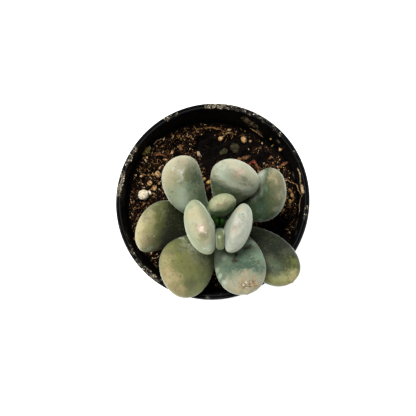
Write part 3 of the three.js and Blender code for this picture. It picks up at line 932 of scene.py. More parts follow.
def root_tree():
    """A round strand along a line, thinner towards its ends, that wanders and changes in thickness."""
    tree, given = new_tree(
        "Root", {"Thickness": 0.5 * MM, "Wander": 0.5 * MM, "Wander Size": 1.4 * MM, "Material": None}
    )
    line = add(tree, "GeometryNodeMeshToCurve", given["Geometry"])
    line = add(tree, "GeometryNodeCurveSplineType", line, spline_type="CATMULL_ROM")
    line = add(tree, "GeometryNodeResampleCurve", line, None, ROOT_STEP, mode="LENGTH")
    place = add(tree, "GeometryNodeInputPosition")
    shift = swirl(tree, place, given["Wander Size"]) * given["Wander"]
    line = add(tree, "GeometryNodeSetPosition", line, None, None, shift)
    share = add(tree, "GeometryNodeSplineParameter")
    taper = (share * (1 - share) * 4) ** ROOT_TAPER * (1 - ROOT_TIP) + ROOT_TIP
    knots = add(tree, "ShaderNodeTexNoise", place, 1 / (given["Wander Size"] * KNOT_SIZE), 2.0) + 0.5
    line = add(tree, "GeometryNodeSetCurveRadius", line, None, given["Thickness"] * 0.5 * taper * knots)
    section = add(tree, "GeometryNodeCurvePrimitiveCircle", ROOT_SIDES, 1.0)
    scale = add(tree, "GeometryNodeInputRadius")
    strand = add(tree, "GeometryNodeCurveToMesh", line, section, scale, True)
    end_tree(tree, add(tree, "GeometryNodeSetShadeSmooth", strand, None, True), given["Material"])
    return tree


def course_mesh(course):
    line = bpy.data.meshes.new("course")
    line.from_pydata(course, [(start, start + 1) for start in range(len(course) - 1)], [])
    return line


root = root_tree()
root_finishes = {
    TAN_ROOT: mottled("tan rootlet", *TAN_ROOT),
    GOLD_ROOT: mottled("golden bark strip", *GOLD_ROOT),
    BROWN_ROOT: mottled("brown bark strip", *BROWN_ROOT),
    RED_ROOT: mottled("dry red leaf", *RED_ROOT),
}
for name, (thickness, colours, course) in ROOTS.items():
    values = {"Thickness": thickness * MM, "Material": root_finishes[colours]}
    strand = grown(name, root, values, course_mesh(course))
    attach(strand, "root")

# Stem
# One short stem, green-brown and finger soft, ringed by the scars of fallen leaves. It leans towards
# the viewer, stands in the hole in the soil, and ends in two tiny bud leaves that are one with it.
STEM_FOOT = 32 * MM
STEM_TOP = 66 * MM
STEM_NARROWS_AT = 58 * MM
STEM_NARROWING = 0.145
STEM_SIDES = 40
STEM_END_ROUND = 0.5 * MM
STEM_STEP = 0.4 * MM
SCAR_SPACING = 4.6 * MM
SCAR_DEPTH = 0.18 * MM
STEM_BROWN = (0.120, 0.075, 0.040)
STEM_GREEN = (0.085, 0.115, 0.040)
# The top of the stem and the bud leaves are painted a near black green: their own green, darkened as painted
# shade of the deep middle of the rosette.
BUD_GREEN_IN_SHADE = (0.012, 0.050, 0.004)
GREENS_AT = 52 * MM
GREEN_AT = 58 * MM
BUD_HEIGHT = 65 * MM
BUD_SEAT = 0.4 * MM
BUD_LEAF = dict(turn=0, rise=80, lift=91, roll=0, length=5, width=2.6, thickness=1.8)
BUD_DIRECTIONS = (5, 185)
LEAF_RINGS = 72
LEAF_SIDES = 72
CENTRE_STEPS = 60
LEAF_WIDEST = 0.62  # share of its length where a leaf is widest
LEAF_THICKEST = 0.58
LEAF_NECK_WIDTH = 0.25  # width of the neck, as a share of the leaf's own
LEAF_NECK_THICKNESS = 0.42
LEAF_FORM = ("bluntness", "neck", "roundness")  # what a leaf may set apart from the rest
LEAF_SWELL = 1.3  # the higher it is, the later a leaf swells
LEAF_HEEL = 0.05  # share of its length over which the seat is rounded
LEAF_BLUNTNESS = 2.2  # 2 is a round end, and more is blunter
UPPER_FACE = 0.8  # fullness of the upper face, and below it of the lower face
LOWER_FACE = 1.2
LEAF_POINT = 0.5 * MM  # how far the tiny point stands out
LEAF_POINT_WIDTH = 0.8 * MM
UNEVEN_WAVES = 1.6  # how many of its swells fit on a leaf
UNEVENNESS = 0.06  # share by which a leaf swells and shrinks from place to place


def leaf_tree():
    """A leaf along a curved line that starts at the seat, round a ball that is pulled into its form."""
    tree, given = new_tree(
        "Fleshy leaf",
        {
            "Seat": (0.0, 0.0, 0.0), "Direction": 0.0, "Turn": 0.0, "Rise": 0.0, "Lift": 1.0,
            "Roll": 0.0, "Length": 25 * MM, "Width": 15 * MM, "Thickness": 8 * MM,
            "Bluntness": LEAF_BLUNTNESS, "Neck": LEAF_NECK_WIDTH, "Roundness": 1.0,
            "Unevenness": UNEVENNESS, "Material": None,
        },
    )

    def vector(x, y, z):
        return add(tree, "ShaderNodeCombineXYZ", x, y, z)

    def course(along):
        """Where the leaf heads, and its two cross directions, at a share of its length."""
        slope = given["Rise"] + (given["Lift"] - given["Rise"]) * along
        heading = given["Direction"] + given["Turn"] * along
        level, up = slope.maths("COSINE"), slope.maths("SINE")
        east, north = heading.maths("COSINE"), heading.maths("SINE")
        forward = vector(level * east, level * north, up)
        upper = vector(up * east * -1, up * north * -1, level)
        across = upper.vectors("CROSS_PRODUCT", forward)
        tilt, straight = given["Roll"].maths("SINE"), given["Roll"].maths("COSINE")
        return forward, across * straight + upper * tilt, upper * straight - across * tilt

    def swell(along, widest, neck, bluntness):
        """Width or thickness along the leaf, as a share of the largest."""
        rest_of_heel = (1 - along / LEAF_HEEL).maths("MAXIMUM", 0.0)
        heel = (1 - rest_of_heel * rest_of_heel).maths("SQRT")
        growing = ((along / widest).maths("MINIMUM", 1.0) * (math.pi / 2)).maths("SINE") ** LEAF_SWELL
        past = ((along - widest) / (1 - widest)).maths("MAXIMUM", 0.0)
        return heel * (neck + (1 - neck) * growing) * (1 - past ** bluntness) ** (1 / bluntness)

    line = add(tree, "GeometryNodeCurvePrimitiveLine")
    line = add(tree, "GeometryNodeResampleCurve", line, None, CENTRE_STEPS + 1)
    index = add(tree, "GeometryNodeInputIndex")
    stride = course((index + 0.5) / CENTRE_STEPS)[0] * (given["Length"] / CENTRE_STEPS)
    travelled = add(
        tree, "GeometryNodeAccumulateField", stride, output=1, data_type="FLOAT_VECTOR"
    )
    line = add(tree, "GeometryNodeSetPosition", line, None, given["Seat"] + travelled)

    ball = add(tree, "GeometryNodeMeshUVSphere", LEAF_SIDES, LEAF_RINGS, 1.0)
    place = add(tree, "GeometryNodeInputPosition")
    x, y, z = (add(tree, "ShaderNodeSeparateXYZ", place, output=axis) for axis in range(3))
    along = ((z + 1) / 2).maths("MINIMUM", 1.0)
    around = y.maths("ARCTAN2", x)
    side, face = around.maths("COSINE"), around.maths("SINE")
    for name, value in (("along", along), ("side", side), ("face", face)):
        ball = add(tree, "GeometryNodeStoreNamedAttribute", ball, None, name, value)
    side = side.maths("SIGN") * side.maths("ABSOLUTE") ** given["Roundness"]
    face = face.maths("SIGN") * face.maths("ABSOLUTE") ** given["Roundness"]
    uneven = add(tree, "ShaderNodeTexNoise", place + given["Seat"] * (1 / MM), UNEVEN_WAVES, 1.0)
    uneven = 1 + (uneven - 0.5) * given["Unevenness"] * along
    blunt = given["Bluntness"]
    wide = swell(along, LEAF_WIDEST, given["Neck"], blunt) * given["Width"] * 0.5
    deep = swell(along, LEAF_THICKEST, LEAF_NECK_THICKNESS, blunt) * given["Thickness"] * 0.5
    fullness = LOWER_FACE - (LOWER_FACE - UPPER_FACE) * face.maths("GREATER_THAN", 0.0)
    sideways = wide * side * uneven
    outward = deep * fullness * face * uneven
    spread = (sideways * sideways + outward * outward) / LEAF_POINT_WIDTH ** 2
    point = (spread * -1).maths("EXPONENT") * along.maths("GREATER_THAN", 0.5) * LEAF_POINT
    forward, across, upper = course(along)
    centre = add(tree, "GeometryNodeSampleCurve", line, None, along, output=1, mode="FACTOR")
    surface = centre + across * sideways + upper * outward + forward * point
    leaf = add(tree, "GeometryNodeSetPosition", ball, None, surface)
    leaf = add(tree, "GeometryNodeSetShadeSmooth", leaf, None, True)
    end_tree(tree, leaf, given["Material"])
    return tree


def stem_radius(height):
    return STEM_RADIUS - STEM_NARROWING * max(0, height - STEM_NARROWS_AT)


def beside_stem(height, direction, reach):
    """A point this far from the stem's axis at this height, in a direction in degrees."""
    towards = math.radians(direction)
    return stem_axis(height) + reach * Vector((math.cos(towards), math.sin(towards), 0))


def leaf_inputs(leaf, seat, material):
    """A leaf's angles, sizes and form as the tree wants them."""
    angles, sizes = ("direction", "turn", "rise", "lift", "roll"), ("length", "width", "thickness")
    values = {title.title(): math.radians(leaf[title]) for title in angles}
    values |= {title.title(): leaf[title] * MM for title in sizes}
    values |= {title.title(): float(leaf[title]) for title in LEAF_FORM if title in leaf}
    return values | {"Seat": seat, "Material": material}


def stem_mesh():
    rings = []
    steps = round((STEM_TOP - STEM_FOOT) / STEM_STEP)
    for step in range(steps + 1):
        height = STEM_FOOT + (STEM_TOP - STEM_FOOT) * step / steps
        scar = SCAR_DEPTH * 0.5 * (1 - math.cos(FULL_TURN * (height - STEM_FOOT) / SCAR_SPACING))
        radius = stem_radius(height) - scar
        rings.append(level_ring(stem_axis(height), lambda turn: radius, STEM_SIDES))
    foot = stem_axis(STEM_FOOT - STEM_END_ROUND)
    return rings_mesh("stem", foot, rings, stem_axis(STEM_TOP + STEM_END_ROUND), smooth_below=60)


def stem_skin():
    skin = Finish("stem skin", STEM_GREEN, 0.6, specular_ior_level=0.2)
    skin.coat(STEM_BROWN, skin.ramp(skin.speckle(2 * MM, warp=0.5), 0.4, 0.65), 0.75)
    height = add(skin.tree, "ShaderNodeSeparateXYZ", skin.place, output=2)
    # Near black green towards the top, as painted shade of the deep middle.
    skin.coat(BUD_GREEN_IN_SHADE, skin.ramp(height, GREENS_AT, GREEN_AT), 0.6)
    skin.relief(skin.speckle(0.6 * MM, detail=4.0), 0.15 * MM)
    return skin.done()


fleshy_leaf = leaf_tree()
stem = show("ringed_stem", stem_mesh(), stem_skin())
buds = []
for direction in BUD_DIRECTIONS:
    bud_leaf = BUD_LEAF | {"direction": direction}
    seat = beside_stem(BUD_HEIGHT, direction, BUD_SEAT)
    buds.append(grown("bud_leaf", fleshy_leaf, leaf_inputs(bud_leaf, seat, stem.data.materials[0])))
    union = stem.modifiers.new("bud leaf", "BOOLEAN")
    union.operation = "UNION"
    union.solver = "EXACT"
    union.object = buds[-1]
settled(stem, smooth_below=60)
for bud in buds:
    bpy.data.objects.remove(bud)
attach(stem, "root")
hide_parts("stem")

# Leaves
# Eleven fat, egg-shaped leaves, each seated on the stem by a narrow neck and curving up to a blunt end
# with a tiny point. The flesh is green, under a bloom of pale wax that is thin where it was rubbed.
LEAF_SEAT = 0.5 * MM  # from the stem's side to the start of a leaf's middle line
LEAVES = {
    "leaf_left": dict(
        height=51, direction=187, seat=-17, turn=22.5, rise=7, lift=70, roll=-47,
        length=29.5, width=18, thickness=8.2,
    ),
    "leaf_lower_right": dict(
        height=55, direction=327, seat=1, turn=-21, rise=17, lift=26, roll=-7,
        length=30.1, width=15.5, thickness=8.5,
    ),
    "leaf_right": dict(
        height=54.5, direction=22.6, seat=8, turn=4, rise=15, lift=78, roll=-22,
        length=26.4, width=16.7, thickness=8.3,
    ),
    "leaf_lower_left": dict(
        height=55.5, direction=242, seat=-10, turn=-17, rise=7, lift=48, roll=-20,
        length=26.85, width=18.8, thickness=9.5,
    ),
    "leaf_top": dict(
        height=58, direction=69, seat=11, turn=-23, rise=32, lift=86, roll=15,
        length=23.8, width=15.7, thickness=8.3,
    ),
    "leaf_bottom": dict(
        height=58.2, direction=293.9, seat=13, turn=-14, rise=45, lift=24, roll=6,
        length=28, width=16, thickness=8, neck=0.42,
    ),
    "leaf_upper_left": dict(
        height=59, direction=140.8, seat=21, turn=-40.5, rise=25, lift=54, roll=27,
        length=25.5, width=14.5, thickness=8.6, neck=0.34, bluntness=2.4,
    ),
    "leaf_inner_left": dict(
        height=64, direction=212, seat=-12, turn=5, rise=62.3, lift=95, roll=-18,
        length=20.3, width=17.7, thickness=8.6,
    ),
    "leaf_inner_right": dict(
        height=64.3, direction=323, seat=17, turn=0, rise=60, lift=96, roll=19,
        length=18.8, width=16.0, thickness=7.3,
    ),
    "leaf_young_bottom": dict(
        height=66, direction=271, seat=0, turn=0, rise=57, lift=83, roll=0,
        length=13.5, width=2.6, thickness=5.6, bluntness=3, neck=0.8, roundness=0.4,
    ),
    "leaf_young_top": dict(
        height=66, direction=82, seat=-5, turn=11, rise=57, lift=96, roll=19,
        length=11.5, width=9.2, thickness=6,
    ),
}
INNER_LEAVES = ("leaf_inner_left", "leaf_inner_right", "leaf_young_bottom", "leaf_young_top")
SMALL_MARK = 0.9  # up to this size in mm a mark is one even spot
MOTTLING = 0.45  # how far the raggedness of a larger mark shows as gaps in it
DARK_FLECKS = (0.10, 0.11, 0.045)
SMOOTH_TIP = 1 / 12  # share of a leaf's length at its tip over which its swellings fade
LENGTH_WEIGHT = 4  # a leaf's whole length counts as this many radians round it
WAXY = dict(  # the soft shine of a skin of wax over watery flesh
    sheen_weight=0.75, sheen_roughness=0.3, sheen_tint=(0.92, 0.97, 0.80, 1), specular_ior_level=0.25,
    subsurface_weight=0.08, subsurface_scale=2 * MM,
)
CLOUDED = 0.3  # how far the large clouds shift the line where the wax sets in
BROKEN = 0.08  # how far the fine ones do
CORK_HEIGHT = 1.2
# For each kind of mark: colour, how far it covers, raggedness of its edge, and roughness
MARKS = {
    "tan": ((0.46, 0.375, 0.20), 0.55, 1.3, 0.62),
    "grey": ((0.30, 0.30, 0.20), 0.5, 1.4, 0.6),
    "olive": ((0.20, 0.215, 0.060), 0.55, 1.3, 0.5),
    # Dark green and teal marks are painted shade, where shade falls in a leaf's creases and hollows and under
    # the leaves above it.
    "green": ((0.060, 0.105, 0.040), 0.65, 1.1, 0.45),
    "shaded_teal": ((0.045, 0.085, 0.058), 0.75, 1.1, 0.45),
    "blue": ((0.17, 0.27, 0.185), 0.6, 1.1, 0.5),
    # Mint, pale and white marks are partly the wax bloom's own paleness and partly painted light, on edges,
    # ridges and glints and on faces turned from the light.
    "mint": ((0.45, 0.52, 0.40), 0.7, 0.4, 0.55),
    # Grey-green marks, painted as shade.
    "painted_shade": ((0.075, 0.085, 0.045), 0.55, 0.6, 0.5),
    "straw": ((0.36, 0.36, 0.15), 0.6, 0.4, 0.55),
    "pale": ((0.66, 0.68, 0.55), 0.6, 1.3, 0.6),
    "white": ((0.86, 0.84, 0.72), 0.8, 1.4, 0.5),
    "pink": ((0.88, 0.62, 0.52), 0.8, 1.5, 0.55),
    "blush": ((0.50, 0.30, 0.22), 0.55, 1.3, 0.6),
    "cork": ((0.40, 0.30, 0.17), 0.95, 1.2, 0.95),
    "rind": ((0.13, 0.075, 0.035), 0.9, 1.4, 0.95),
    "stain": ((0.040, 0.023, 0.012), 0.97, 0.7, 0.7),
    "speck": ((0.075, 0.055, 0.025), 0.85, 1.0, 0.8),
    # Tiny glossy spots, painted pale as glints of light.
    "painted_glint": ((0.70, 0.72, 0.55), 0.8, 0.8, 0.15),
}
# For each leaf: the colours of its flesh, its wax and its ripe end, the shares of its length between
# which the wax and the ripe end set in, its swellings, and its marks. A swelling has its share of the
# length, its turn round the leaf, how far it runs each way and its height in mm. A mark has its kind,
# share, turn and size in mm.
# The palettes differ from leaf to leaf partly as painted light and shade: leaves that lie under others are
# darker all over, and the flesh nearest the stem is darkest, as painted shade between the leaves.
LOOKS = {
    "leaf_upper_left": dict(
        flesh=(0.085, 0.135, 0.065), wax=(0.32, 0.36, 0.23), ripe=(0.43, 0.41, 0.27),
        waxed=(0.30, 0.60), ripens=(0.66, 0.95),
        swellings=[(0.76, 78, 0.26, 24, 0.55), (0.60, 118, 0.22, 30, -0.35)],
        marks=[
            ("blue", 0.60, 80, 2.0), ("blue", 0.68, 88, 1.8), ("green", 0.55, 116, 3.4),
            ("green", 0.63, 112, 3.0), ("green", 0.76, 122, 2.4), ("shaded_teal", 0.60, 122, 2.2),
            ("mint", 0.64, 59, 2.0), ("mint", 0.55, 51, 2.5), ("mint", 0.46, 40, 2.5),
            ("painted_shade", 0.86, 112, 2.4), ("painted_shade", 0.79, 97, 2.0), ("painted_shade", 0.70, 110, 2.4),
            ("olive", 0.78, 95, 1.3), ("olive", 0.85, 103, 1.1),
            ("pale", 0.90, 79, 1.2), ("white", 0.89, 80, 0.6), ("pale", 0.83, 76, 1.0),
            ("pale", 0.95, 43, 0.9), ("pale", 0.80, 62, 0.8), ("tan", 0.79, 28, 2.4),
            ("tan", 0.90, 40, 2.2), ("blush", 0.98, 111, 1.4), ("grey", 0.88, 140, 2.0),
            ("grey", 0.97, 70, 1.6), ("olive", 0.73, 93, 0.9), ("grey", 0.85, 50, 1.2),
            ("speck", 0.62, 8, 0.35), ("speck", 0.70, 30, 0.22), ("green", 0.36, 112, 2.4),
            ("speck", 0.97, 60, 0.22),
        ],
    ),
    "leaf_top": dict(
        flesh=(0.080, 0.105, 0.040), wax=(0.40, 0.43, 0.30), ripe=(0.43, 0.43, 0.31),
        waxed=(0.44, 0.56), ripens=(0.72, 0.92),
        swellings=[(0.68, 62, 0.10, 65, 0.5), (0.50, 60, 0.08, 60, -0.3)],
        marks=[
            ("tan", 0.66, 22, 2.0), ("olive", 0.62, 50, 1.6), ("mint", 0.85, 42, 2.4),
            ("pale", 0.80, 54, 2.8), ("pale", 0.72, 110, 2.0),
            ("mint", 0.84, 66, 2.4), ("pale", 0.74, 90, 2.0), ("pale", 0.74, 125, 2.0),
            ("pale", 0.86, 316, 1.2), ("pink", 0.995, 110, 1.0),
            ("blush", 0.99, 80, 1.9), ("tan", 0.93, 90, 1.4), ("tan", 0.96, 340, 0.8),
            ("grey", 0.95, 187, 2.8), ("grey", 0.95, 170, 2.4), ("olive", 0.80, 152, 1.2),
            ("grey", 0.84, 119, 1.6), ("speck", 0.84, 122, 0.35), ("speck", 0.83, 134, 0.28),
            ("speck", 0.82, 147, 0.28), ("pale", 0.63, 131, 1.7), ("tan", 0.60, 120, 1.8),
            ("olive", 0.55, 108, 2.2), ("painted_shade", 0.50, 50, 2.4), ("green", 0.47, 56, 2.4),
            ("painted_shade", 0.50, 82, 2.2), ("green", 0.47, 82, 2.4), ("mint", 0.62, 140, 2.0),
            ("pale", 0.55, 150, 1.6),
            ("green", 0.46, 105, 2.2), ("green", 0.46, 64, 2.6), ("painted_shade", 0.45, 44, 2.2),
            ("mint", 0.70, 136, 2.0), ("mint", 0.79, 160, 1.6), ("grey", 0.99, 184, 2.8),
            ("painted_shade", 0.93, 118, 1.4), ("speck", 0.90, 20, 0.2), ("grey", 0.96, 355, 0.7),
        ],
    ),
    # This leaf lies in the shade of the top leaf, and its whole palette is darkened as painted shade.
    "leaf_right": dict(
        flesh=(0.024, 0.044, 0.017), wax=(0.085, 0.108, 0.045), ripe=(0.185, 0.170, 0.092),
        waxed=(0.66, 0.95), ripens=(0.88, 1.0),
        swellings=[(0.66, 118, 0.14, 40, -0.5), (0.84, 85, 0.10, 26, 0.35)],
        marks=[
            ("tan", 0.93, 50, 2.2), ("grey", 0.90, 358, 2.4), ("blush", 0.90, 0, 1.2),
            ("mint", 0.66, 34, 2.6), ("mint", 0.74, 62, 2.8), ("mint", 0.72, 84, 2.2),
            ("mint", 0.56, 86, 2.6), ("pale", 0.70, 46, 1.8), ("grey", 0.90, 20, 2.0),
            ("blue", 0.84, 92, 1.8), ("shaded_teal", 0.62, 128, 3.4), ("shaded_teal", 0.74, 118, 2.2),
            ("painted_shade", 0.80, 128, 3.2), ("painted_shade", 0.87, 157, 2.2), ("blue", 0.50, 168, 1.2),
            ("green", 0.80, 128, 2.4), ("painted_shade", 0.97, 122, 2.4), ("painted_shade", 0.91, 140, 2.4),
            ("painted_shade", 0.80, 146, 2.2), ("speck", 0.91, 131, 0.4), ("grey", 0.97, 200, 1.6),
            ("grey", 0.85, 172, 1.1),
        ],
    ),
    "leaf_left": dict(
        flesh=(0.026, 0.033, 0.010), wax=(0.17, 0.18, 0.062), ripe=(0.46, 0.40, 0.21),
        waxed=(0.54, 0.86), ripens=(0.82, 0.98),
        swellings=[(0.80, 85, 0.16, 30, 0.35), (0.55, 100, 0.14, 50, -0.4)],
        marks=[
            ("olive", 0.79, 126, 2.8), ("tan", 0.97, 130, 2.0), ("painted_shade", 0.96, 193, 2.2),
            ("painted_shade", 0.86, 178, 2.2), ("straw", 0.94, 106, 2.4), ("olive", 0.78, 98, 1.8),
            ("straw", 0.84, 84, 2.0), ("tan", 0.86, 58, 2.6), ("straw", 0.68, 47, 2.4),
            ("mint", 0.80, 38, 1.8), ("straw", 0.72, 52, 2.2),
            ("painted_glint", 0.86, 79, 0.4), ("painted_glint", 0.89, 86, 0.3), ("grey", 0.72, 140, 1.8),
            ("speck", 0.90, 100, 0.2), ("speck", 0.84, 140, 0.25), ("speck", 0.94, 120, 0.2),
        ],
    ),
    "leaf_lower_left": dict(
        flesh=(0.070, 0.092, 0.038), wax=(0.190, 0.200, 0.070), ripe=(0.29, 0.240, 0.105),
        waxed=(0.25, 0.70), ripens=(0.84, 1.0),
        swellings=[(0.50, 115, 0.12, 24, 0.3), (0.62, 60, 0.16, 40, -0.3)],
        marks=[
            ("olive", 0.79, 124, 2.8), ("olive", 0.70, 130, 2.4), ("tan", 0.98, 83, 2.8),
            ("tan", 0.95, 139, 2.2), ("tan", 0.93, 46, 2.0), ("pale", 0.40, 160, 1.8),
            ("grey", 0.47, 130, 2.6), ("pale", 0.46, 108, 1.8), ("grey", 0.54, 92, 2.4),
            ("grey", 0.43, 68, 2.6), ("green", 0.60, 52, 2.4), ("painted_shade", 0.76, 54, 2.6),
            ("painted_shade", 0.84, 60, 2.2), ("tan", 0.82, 152, 2.4), ("tan", 0.72, 154, 2.2), ("tan", 0.90, 88, 2.2),
            ("olive", 0.70, 140, 2.4), ("painted_shade", 0.60, 130, 1.8), ("tan", 0.97, 108, 2.2),
            ("grey", 0.50, 118, 3.0), ("grey", 0.42, 98, 2.6), ("painted_shade", 0.73, 150, 2.2),
            ("speck", 0.88, 88, 0.35), ("speck", 0.74, 112, 0.3), ("speck", 0.66, 118, 0.25),
            ("speck", 0.84, 130, 0.25), ("green", 0.36, 90, 1.8),
            ("speck", 0.90, 120, 0.2), ("speck", 0.80, 150, 0.22), ("speck", 0.95, 110, 0.2),
        ],
    ),
    "leaf_bottom": dict(
        flesh=(0.070, 0.115, 0.072), wax=(0.135, 0.185, 0.120), ripe=(0.31, 0.300, 0.205),
        waxed=(0.30, 0.62), ripens=(0.76, 0.86),
        swellings=[(0.62, 88, 0.12, 50, -0.65), (0.82, 72, 0.05, 34, 0.5), (0.91, 85, 0.04, 30, -0.25)],
        marks=[
            ("shaded_teal", 0.68, 84, 4.0), ("shaded_teal", 0.58, 74, 2.8), ("shaded_teal", 0.74, 60, 3.2),
            ("shaded_teal", 0.66, 112, 2.6), ("shaded_teal", 0.78, 46, 2.2), ("shaded_teal", 0.69, 70, 3.0),
            ("shaded_teal", 0.72, 92, 2.4), ("blue", 0.56, 74, 2.4), ("mint", 0.42, 133, 2.4),
            ("mint", 0.51, 118, 1.5), ("mint", 0.44, 36, 2.0), ("blue", 0.60, 26, 2.2),
            ("mint", 0.60, 160, 1.2), ("mint", 0.72, 154, 1.2), ("mint", 0.82, 150, 1.2),
            ("stain", 0.615, 98, 0.9), ("stain", 0.60, 97, 0.8), ("stain", 0.575, 95, 0.6),
            ("stain", 0.55, 92, 0.6), ("stain", 0.525, 88, 0.6), ("stain", 0.505, 66, 0.8),
            ("stain", 0.49, 56, 0.9), ("stain", 0.47, 47, 0.9),
            ("speck", 0.69, 39, 0.4), ("speck", 0.73, 46, 0.32), ("grey", 0.845, 62, 2.0),
            ("grey", 0.81, 84, 2.2), ("grey", 0.80, 112, 1.8), ("cork", 0.90, 84, 3.0),
            ("cork", 0.92, 62, 2.2), ("rind", 0.905, 92, 1.6), ("rind", 0.89, 72, 1.5),
            ("rind", 0.93, 82, 1.3), ("tan", 0.97, 100, 2.4), ("white", 0.895, 84, 0.4),
            ("white", 0.92, 96, 0.3), ("white", 0.91, 70, 0.3), ("grey", 0.93, 130, 1.8),
        ],
    ),
    # This leaf lies in the shade of the leaves above it, and its whole palette is darkened as painted shade.
    "leaf_lower_right": dict(
        flesh=(0.010, 0.015, 0.007), wax=(0.045, 0.058, 0.014), ripe=(0.175, 0.160, 0.058),
        waxed=(0.70, 0.92), ripens=(0.90, 1.04),
        swellings=[(0.60, 60, 0.16, 40, -0.4)],
        marks=[
            ("green", 0.72, 104, 2.4), ("green", 0.80, 100, 2.0), ("straw", 0.90, 152, 2.4),
            ("straw", 0.80, 146, 2.2), ("straw", 0.95, 120, 2.4), ("straw", 0.97, 58, 2.6),
            ("olive", 0.88, 40, 2.2), ("painted_shade", 0.70, 100, 3.0), ("painted_shade", 0.74, 50, 2.4),
            ("tan", 0.98, 80, 2.0),
            ("speck", 0.88, 82, 0.3), ("speck", 0.82, 96, 0.25), ("speck", 0.93, 100, 0.2),
        ],
    ),
    "leaf_inner_left": dict(
        flesh=(0.19, 0.24, 0.11), wax=(0.32, 0.36, 0.21), ripe=(0.45, 0.43, 0.28),
        waxed=(0.50, 0.80), ripens=(0.84, 0.97),
        swellings=[],
        marks=[
            ("tan", 0.97, 187, 2.2), ("tan", 0.94, 227, 1.8), ("blush", 0.99, 340, 2.0),
            ("grey", 0.95, 350, 2.4), ("painted_shade", 0.975, 358, 1.6), ("pale", 0.85, 88, 1.4),
            ("pink", 0.995, 335, 1.2), ("white", 0.995, 335, 0.6),
            ("white", 0.985, 20, 0.35), ("pale", 0.82, 355, 1.6), ("olive", 0.95, 330, 1.4),
            ("grey", 0.97, 270, 1.2), ("mint", 0.86, 12, 1.8), ("speck", 0.92, 200, 0.2),
        ],
    ),
    "leaf_inner_right": dict(
        flesh=(0.20, 0.26, 0.16), wax=(0.38, 0.42, 0.33), ripe=(0.50, 0.50, 0.42),
        waxed=(0.45, 0.75), ripens=(0.86, 0.98),
        swellings=[],
        marks=[
            ("grey", 0.99, 353, 1.2), ("grey", 0.97, 296, 2.2), ("blue", 0.97, 20, 1.0),
            ("grey", 1.0, 147, 1.2), ("mint", 0.62, 104, 1.6), ("mint", 0.71, 82, 1.5),
            ("mint", 0.69, 54, 1.5), ("tan", 0.99, 149, 1.0), ("tan", 0.83, 28, 1.8), ("tan", 0.91, 20, 1.5),
            ("pale", 0.86, 172, 2.4), ("pale", 0.70, 169, 2.0), ("grey", 0.72, 106, 0.9),
            ("blush", 0.99, 120, 1.2), ("grey", 0.98, 100, 1.0), ("speck", 0.96, 350, 0.3),
            ("speck", 0.97, 330, 0.22),
        ],
    ),
    "leaf_young_bottom": dict(
        flesh=(0.12, 0.17, 0.06), wax=(0.15, 0.185, 0.075), ripe=(0.18, 0.21, 0.095),
        waxed=(0.50, 0.80), ripens=(0.92, 1.0), swellings=[], marks=[("pale", 0.99, 120, 0.6)],
    ),
    "leaf_young_top": dict(
        flesh=(0.050, 0.125, 0.024), wax=(0.33, 0.36, 0.20), ripe=(0.42, 0.40, 0.25),
        waxed=(0.70, 0.86), ripens=(0.88, 1.0),
        swellings=[],
        marks=[
            ("tan", 1.0, 326, 1.4), ("blush", 0.99, 340, 0.8), ("painted_shade", 0.98, 150, 1.2),
            ("painted_shade", 0.99, 10, 0.9), ("green", 0.78, 125, 1.8),
            ("green", 0.66, 80, 2.2), ("pale", 0.86, 40, 1.0),
        ],
    ),
}


def surface_numbers(mesh):
    """Each vertex of a leaf with its share of the length and its turn round the leaf."""
    for vertex, along, side, face in zip(
        mesh.vertices, *(mesh.attributes[title].data for title in ("along", "side", "face"))
    ):
        yield vertex, along.value, math.atan2(face.value, side.value)


def sculpt(mesh, swellings):
    """Raises soft swellings on a leaf's skin, and presses a hollow where the height is below 0."""
    moves = []
    for vertex, along, around in surface_numbers(mesh):
        lift = 0
        for share, turn, run, spread, height in swellings:
            lengthwise = (along - share) / run
            across = math.remainder(around - math.radians(turn), FULL_TURN) / math.radians(spread)
            lift += height * MM * math.exp(-lengthwise ** 2 - across ** 2)
        at_tip = min(1, (1 - along) / SMOOTH_TIP)
        moves.append(vertex.normal * lift * at_tip)
    for vertex, move in zip(mesh.vertices, moves):
        vertex.co += move
    mesh.update()


def place_on(mesh, share, turn):
    """The point of a leaf's skin at a share of its length and a turn round it in degrees."""
    def miss(row):
        vertex, along, around = row
        off_round = abs(math.remainder(around - math.radians(turn), FULL_TURN))
        return abs(along - share) * LENGTH_WEIGHT + off_round

    return min(surface_numbers(mesh), key=miss)[0].co


